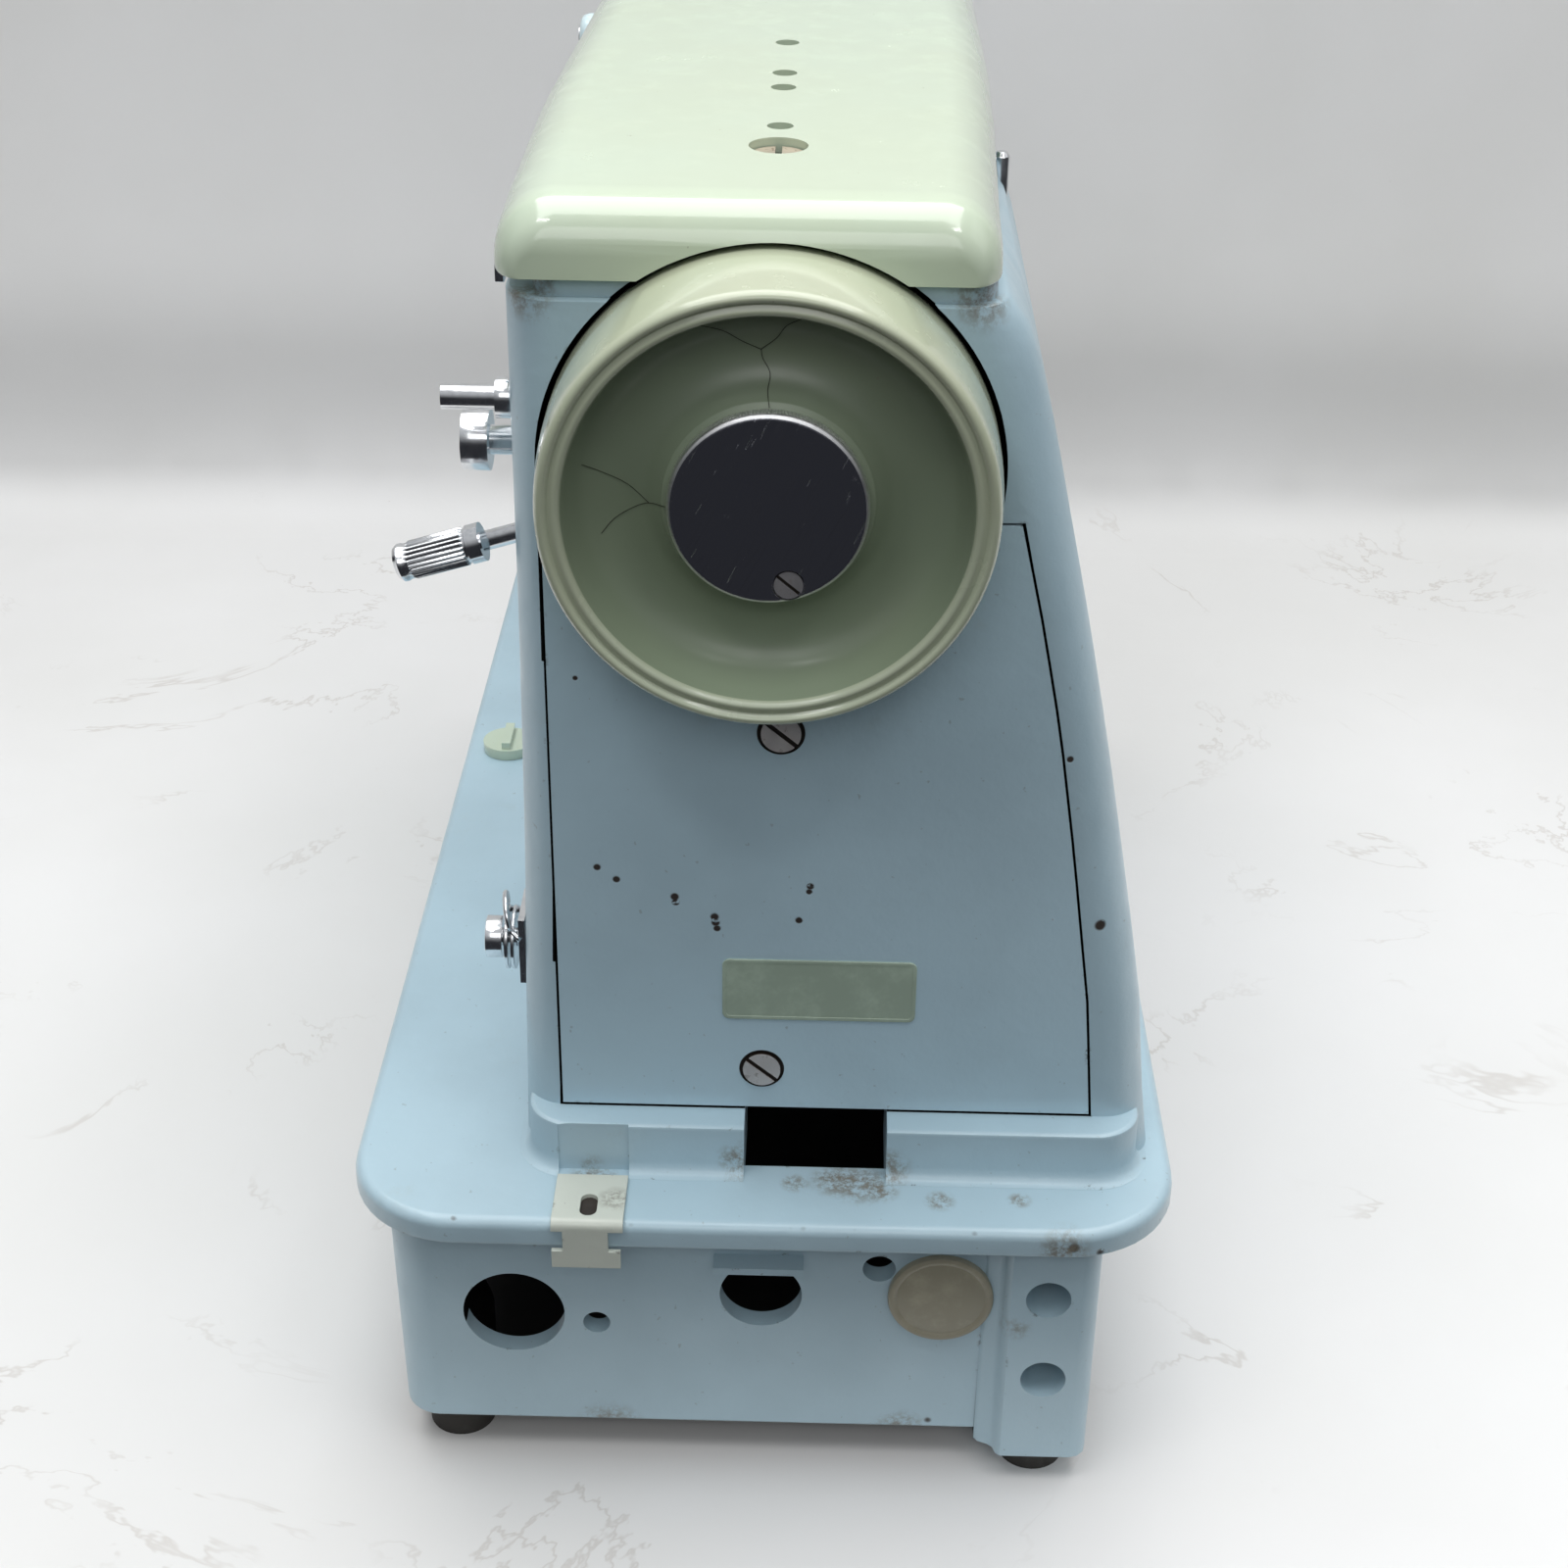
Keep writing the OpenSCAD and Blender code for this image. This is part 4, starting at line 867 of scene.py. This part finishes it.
def stop_knob():
    """Stop-motion knob: fluted edge between two plain bands, flat face, screw recess."""
    steps, flutes = 1080, 180
    profile = [(3, 168.5, 0), (12, 168.5, 0), (12, 174.7, 0), (18.1, 174.7, 0), (18.4, 174.9, 0),
               (18.5, 175.2, 1), (18.5, 176.7, 1), (18.35, 176.85, 0), (18.5, 177.0, 0),
               (18.45, 177.3, 0), (18.2, 177.65, 0), (17.8, 177.9, 0), (17.3, 178, 0),
               (0.05, 178, 0)]
    knob = loft("knob", [[(x, u, AXIS_Z + v)
                          for u, v in fluted_circle(r, fluted * 0.3, flutes, steps)]
                         for r, x, fluted in profile])
    cuts = [rod("recess", "x", (176.8, 179), KNOB_SCREW, 3.05),
            rod("bore", "x", (150, 176.4), (0, AXIS_Z), 4.05)]
    combine(knob, cuts, "DIFFERENCE")
    return shade(knob, 32)


def paint_faces(piece, material, chosen):
    """Gives the faces that chosen(face centre in mm, normal) picks a second material."""
    piece.data.materials.append(material)
    for face in piece.data.polygons:
        if chosen(face.center / MM, face.normal):
            face.material_index = 1


# Faces inside the bell, which get the darker sage as painted shade.
def in_bell(c, normal):
    return c.x < 180.6 and math.hypot(c.y, c.z - AXIS_Z) < 37.6


# Faces of the screw seats round the heads, which get near-black painted shade.
def in_screw_seat(c, normal):
    return c.x < PANEL_X - 0.05 and min(math.hypot(c.y - y, c.z - z) for y, z in PANEL_SCREWS) < 4.9


# Faces inside the bed's hollow, which get the near-black painted shade.
def inside_bed(c, normal):
    return abs(c.x) < 169.6 and SKIRT_Y[0] + 4.9 < c.y < SKIRT_Y[1] - 4.9 and c.z < FLANGE_Z + 0.1


def inside_arm(c, normal):
    """The hollow, the wheel's recess and the seam round the end panel: painted shade."""
    rear = between([(75, 74), (120, 70), (160, 60), (200, 38), (280, 38)], c.z) + 0.1
    hollow = 37.9 < c.x < 157.5 and -44.6 < c.y < rear
    hollow = hollow or (c.x < 26.1 and -41.1 < c.y < 38.1 and ARM_Z + 4.9 < c.z < SEAM_Z - 0.1)
    seat = (157 < c.x < PANEL_X - 0.05 and -44.2 < c.y < between(PANEL_RIGHT, c.z) + 0.9
            and 87.9 < c.z < 227)
    hollow = hollow and c.z < NECK_Z - 0.3
    facing_axis = c.y * normal.y + (c.z - AXIS_Z) * normal.z < 0.1 and abs(normal.z) < 0.999
    near_axis = math.hypot(c.y, c.z - AXIS_Z) < RECESS_R + 0.1
    recess = 149.9 < c.x < PANEL_X - 0.05 and near_axis and facing_axis
    return hollow or seat or recess


# ---------------------------------------------------------------- small parts

def grip():
    """Fluted grip on the stitch length lever, with a plain collar and a rounded tip."""
    steps, flutes = 240, 24
    profile = [(2.05, 29.5, 0), (4, 29.5, 0), (4, 32.3, 0), (3.5, 32.6, 0), (3.5, 33, 0),
               (4, 33.4, 1), (4, 44.4, 1), (3.7, 44.9, 0), (3.7, 45.8, 0), (3.9, 46.2, 0),
               (3.9, 47, 0), (3.3, 47.8, 0), (0.05, 48, 0)]
    tilt = math.radians(17)
    out = Vector((0, -math.cos(tilt), -math.sin(tilt)))
    side = Vector((1, 0, 0))
    across = out.cross(side)
    root = Vector((135, -30, 218))
    rings = []
    for r, along, fluted in profile:
        ring = []
        for i in range(steps):
            a = 2 * math.pi * i / steps
            depth = fluted * 0.5 * (0.5 - 0.5 * math.cos(flutes * a))
            spoke = side * math.cos(a) + across * math.sin(a)
            ring.append(root + out * along + spoke * (r - depth))
        rings.append(ring)
    piece = loft("grip", rings)
    return shade(piece, 34)


def clip():
    """Bent sheet clip over the bed's edge: slotted tongue, narrow neck, wide foot."""
    t = 1.15
    x_out = span("bed_clip", 0)[1]
    top = BED_TOP + t
    outer = [(170, top)] + [
        (x_out - 2 + 2 * math.sin(math.radians(a)), top - 2 + 2 * math.cos(math.radians(a)))
        for a in (0, 22, 45, 68, 90)] + [(x_out, 69), (x_out, 65)]
    inner = [(x_out - t, 65), (x_out - t, 69)] + [
        (x_out - 2 + 0.85 * math.sin(math.radians(a)), top - 2 + 0.85 * math.cos(math.radians(a)))
        for a in (90, 45, 0)] + [(170, BED_TOP)]
    sheet = loft("sheet", [at_y(outer + inner, y) for y in (-44, -28.8)])
    slot = round_rect((176.6, 183.6), (-38.2, -34.6), 1.75, 6)
    cuts = [block("notch", (x_out - 8, 200), (-45, -41.6), (69.4, BED_TOP - 1.4)),
            block("notch", (x_out - 8, 200), (-32, -28), (69.4, BED_TOP - 1.4)),
            block("end", (x_out - 8, 200), (-29.4, -28), (60, 69.5)),
            loft("slot", [at_z(slot, z) for z in (70, 90)])]
    combine(sheet, cuts, "DIFFERENCE")
    soften(sheet, 0.3, 34, 2)
    return sheet


def rating():
    """Blank rating plate with round corners and a raised border."""
    low_y, high_y = span("rating_plate", 1)
    low_z, high_z = span("rating_plate", 2)
    front = span("rating_plate", 0)[1]

    def ring(inset, x):
        return at_x(round_rect((low_y + inset, high_y - inset), (low_z + inset, high_z - inset),
                               1.6 - min(inset, 1.2), 5), x)

    plate = loft("plate", [ring(0, PANEL_X), ring(0, front - 0.1), ring(0.12, front),
                           ring(0.75, front), ring(0.85, front - 0.12)])
    return shade(plate, 25)


def plug():
    """Push-in blanking plug: rim, shallow groove and a faintly domed face."""
    x = span("blanking_plug", 0)[1]
    centre = (sum(span("blanking_plug", 1)) / 2, sum(span("blanking_plug", 2)) / 2)
    profile = [(8, x - 8), (10.4, x - 8), (10.4, x - 2.3), (11.5, x - 2.2), (11.6, x - 1.4),
               (11.35, x - 0.7), (10.8, x - 0.45), (10.2, x - 0.5), (9.7, x - 0.85), (9.2, x - 0.8),
               (8.4, x - 0.5), (6, x - 0.2), (3, x - 0.05), (0.05, x)]
    piece = lathe("plug", centre, profile, 96)
    return shade(piece, 40)


def coil(x, y, z, radius, wire, turns):
    """Compression spring round a vertical bar."""
    steps = 20
    points = []
    for i in range(turns * steps + 1):
        a = 2 * math.pi * i / steps
        points.append((x + radius * math.cos(a), y + radius * math.sin(a),
                       z[0] + wire + (z[1] - z[0] - 2 * wire) * i / (turns * steps)))
    piece = tube("coil", points, wire, 8)
    piece.data.shade_smooth()
    return piece


def dial():
    """Tension dial: ribbed skirt, domed face and a raised pointer rib."""
    y_back, y_front = span("tension_dial", 1)[1], span("tension_dial", 1)[0]
    x = sum(span("tension_dial", 0)) / 2
    z = sum(span("tension_dial", 2)) / 2
    depth = y_back - y_front
    profile = [(3.05, 0, 0), (6.2, 0, 0), (6.4, 0.03, 0), (6.4, 0.08, 1), (6.3, 0.70, 1),
               (6.2, 0.76, 0), (5.8, 0.88, 0), (5, 0.95, 0), (4, 0.985, 0), (3.05, 1, 0)]
    steps, ribs = 240, 24
    piece = loft("dial", [[(x + u, y_back - depth * along, z + v)
                           for u, v in fluted_circle(r, ribbed * 0.3, ribs, steps)]
                          for r, along, ribbed in profile], closed=True)
    return shade(piece, 36)


def thread_loop():
    """Wire loop over the winder's thread tension."""
    centre = (140, 118)
    points = [(centre[0] + 5 * math.cos(math.radians(a)),
               -55.5 - 1.5 * math.sin(math.radians(a / 2)),
               centre[1] + 6 + 4.2 * math.sin(math.radians(a))) for a in range(-20, 201, 20)]
    points = [(146, -53, 121)] + points + [(134, -53, 121)]
    piece = tube("loop", smooth_curve(points, 3), 0.7, 8)
    piece.data.shade_smooth()
    return piece


# ---------------------------------------------------------------- put together

make_camera()
make_light()

backdrop()

BLUE = rgb(0.44, 0.595, 0.675)


def in_metres(spots):
    """Turns (x, y, z, radius) in mm into the (place, radius) that enamel takes."""
    return [((x * MM, y * MM, z * MM), r * MM) for x, y, z, r in spots]


PANEL_MARKS = in_metres([(PANEL_X, y, z, r) for y, z, r in (
    (-34.6, 148.6, 0.75), (-30.7, 145.8, 0.75), (-18.8, 141.9, 0.85), (-18.6, 140.6, 0.8),
    (-10.6, 137.2, 0.85), (-10.4, 135.8, 0.85), (-10.1, 134.4, 0.75), (9.0, 145.1, 0.75),
    (8.8, 143.8, 0.65), (6.8, 136.8, 0.75), (-37.8, 191.9, 0.5))])
BED_MARKS = in_metres((
    (184.5, -64.6, 76.6, 1.2), (185.8, 66, 72.4, 1.4), (185.3, -27.2, 76.3, 1.3),
    (185.3, 6.4, 76.4, 1.3), (185.3, 9, 76.4, 1.4), (185.3, 11.4, 76.4, 1.2),
    (185.3, 19.8, 76.4, 1.3), (185.3, -76, 75.6, 1.4), (185.3, 45, 76.0, 1.2),
    (178.3, 84.6, 75, 1.1), (185, 72, 70.8, 1.3), (174.6, -62, 22, 0.7), (174.5, 38, 12, 1.1),
    # Painted shade: these two marks darken the bed under the clip's slot; the others are chips.
    (180.6, -37.2, BED_TOP, 1.7), (180.6, -35.6, BED_TOP, 1.7)))
BED_DIRT = in_metres((
    (169.9, 21, BED_TOP, 5.2), (168.8, 15.5, BED_TOP, 4.2), (172.0, 25.6, BED_TOP, 3.0),
    (170, 7, BED_TOP, 2.4), (174.8, 38, BED_TOP, 2.6), (174, 55, BED_TOP, 2.0),
    (170.4, -36.4, BED_TOP, 4.4), (185, 64, 71, 4.6), (174.5, 32, 8, 5), (174.5, -34, 7, 6),
    (174.5, 61, 40, 3), (177, 56, 45, 3)))
ARM_DIRT = in_metres((
    (169, 27, 79, 4), (169, -5, 80, 4), (160, 10, 89, 6), (158, -45, 270, 5),
    (158, 38, 270, 5), (169, -37, 77.4, 2.6)))
ARM_MARKS = in_metres((
    (160.2, 69, 137, 1.3), (160.2, 60, 176, 0.7), (160.2, -47, 118, 0.6), (168, -50, 87, 0.8),
    (160.2, -46, 262, 0.8)))

blue_bed = enamel("blue_bed", BLUE, BED_MARKS, BED_DIRT, 0.9)
blue_arm = enamel("blue_arm", BLUE, ARM_MARKS, ARM_DIRT, 0.6)
# The same blue made lighter on the end panel: painted light against the shade on that face.
blue_panel_lightened = enamel("blue_panel_lightened", rgb(0.51, 0.69, 0.785), PANEL_MARKS, (), 0.7)
blue_small = enamel("blue_small", BLUE, (), (), 0.5)
mint = plastic("mint", rgb(0.54, 0.635, 0.50), rgb(0.53, 0.59, 0.43), 0.12, 0.6)
sage = plastic("sage", rgb(0.44, 0.49, 0.365), rgb(0.45, 0.455, 0.31), 0.16, 0.5)
# The sage plastic made darker: painted shade inside the bell.
bell_shaded_sage = plastic("bell_shaded_sage", rgb(0.24, 0.295, 0.205), rgb(0.25, 0.275, 0.175), 0.34, 0.2)
pale = plastic("pale", rgb(0.62, 0.76, 0.80), rgb(0.58, 0.70, 0.74), 0.16)
chrome = metal("chrome", rgb(0.78, 0.79, 0.81), 0.10, (1, 1, 1), 500, 0.25, 0.25)
satin = metal("satin", rgb(0.86, 0.86, 0.87), 0.34, (1, 1, 1), 600, 0.3, 0.2)
panel_screw = screw_metal("panel_screw", "X", span("end_panel_screws", 0)[1], rgb(0.84, 0.80, 0.78))
knob_screw = screw_metal("knob_screw", "X", span("stop_motion_screw", 0)[1],
                         rgb(0.42, 0.41, 0.42), 0.3)
rusty_screw = screw_metal("rusty_screw", "Z", span("cover_screw", 2)[1], rgb(0.55, 0.48, 0.38), 0.9)
mirror = scratched("mirror", rgb(0.62, 0.62, 0.68))
machined = metal("machined", rgb(0.52, 0.52, 0.53), 0.24, (1, 1, 9), 420, 0.4, 0.2)
bronze = metal("bronze", rgb(0.50, 0.34, 0.16), 0.36, (1, 1, 1), 500, 0.4)
# Near black: painted shade on the castings' hollows, the wheel's recess and the panel's seam.
hollow_shade_black = soft("hollow_shade_black", rgb(0.003, 0.0028, 0.0025), 0.9, 300, 0.0003, 0.002, 0.05)
black_iron = enamel("black_iron", rgb(0.035, 0.036, 0.04), (), (), 0.3, 0.42)
rubber = soft("rubber", rgb(0.035, 0.032, 0.028), 0.75)
belt_rubber = soft("belt_rubber", rgb(0.02, 0.02, 0.02), 0.7)
beige = soft("beige", rgb(0.32, 0.30, 0.225), 0.42, 900, 0.00006)
ivory = enamel("ivory", rgb(0.60, 0.64, 0.57), (), in_metres([(178, -31, BED_TOP, 3)]), 0.8)
foil = soft("foil", rgb(0.37, 0.46, 0.37), 0.38, 300, 0.00004)
# Near black: used only as painted shade in the panel's screw seats and under the clip's slot.
grime = soft("grime", rgb(0.022, 0.016, 0.012), 0.7)
crack = soft("crack", rgb(0.03, 0.03, 0.02), 0.8)

paint_faces(dress(bed(), blue_bed, replaces=("bed_casting",)), hollow_shade_black, inside_bed)
paint_faces(dress(arm(), blue_arm, replaces=("arm_casting",)), hollow_shade_black, inside_arm)
# The panel's screw seats get near-black painted shade.
paint_faces(dress(panel(), blue_panel_lightened, replaces=("end_panel",)), grime, in_screw_seat)
dress(cover(), mint, replaces=("top_cover",))
paint_faces(dress(handwheel(), sage, "main_shaft", ("handwheel",)), bell_shaded_sage, in_bell)
dress(cracks(), crack, "main_shaft")
paint_faces(dress(stop_knob(), satin, "stop_motion", ("stop_motion_knob",)), mirror,
            lambda c, normal: normal.x > 0.9 and c.x > 176)
dress(grip(), chrome, "stitch_length_lever", ("stitch_length_grip",))
dress(clip(), ivory, replaces=("bed_clip",))
# Painted shade: a near-black sheet under the clip's slot, where shade falls.
dress(block("clip_slot_shadow", (176.4, 183.8), (-38.4, -34.4), (BED_TOP - 0.3, BED_TOP + 0.15)),
      grime)
dress(rating(), foil, replaces=("rating_plate",))
dress(plug(), beige, replaces=("blanking_plug",))
dress(coil(NEEDLE_X, 14, (184, 258.5), 5.3, 0.75, 13), machined, replaces=("presser_spring",))
dress(dial(), pale, "tension_dial", ("tension_dial",))
dress(thread_loop(), chrome)

FINISH = {"blue_paint": blue_small, "mint_plastic": mint, "sage_plastic": sage, "chrome": chrome,
          "steel": machined, "bronze": bronze, "black_iron": black_iron, "rubber": rubber,
          "belt_rubber": belt_rubber, "beige_plastic": beige, "ivory_metal": ivory,
          "plate_foil": foil, "pale_plastic": pale, "dark_plastic": rubber}
OWN_FINISH = {"end_panel_screws": panel_screw, "stop_motion_screw": knob_screw,
              "cover_screw": rusty_screw}
WELD_DISTANCE = 0.000005          # metres
BROKEN_EDGE = 0.00018


def finish_cad_nodes():
    """Gives every CAD node that still shows its material and slightly broken edges."""
    slots = {s["node"]: s["material_slot"] for s in frame["record"]["subparts"]}
    for name, piece in frame["nodes"].items():
        piece.data.materials.clear()
        piece.data.materials.append(OWN_FINISH.get(name, FINISH[slots[name]]))
        weld = piece.modifiers.new("weld", "WELD")
        weld.merge_threshold = WELD_DISTANCE
        edges = piece.modifiers.new("edges", "BEVEL")
        edges.width = BROKEN_EDGE
        edges.segments = 2
        edges.limit_method = "ANGLE"
        edges.angle_limit = math.radians(38)


finish_cad_nodes()
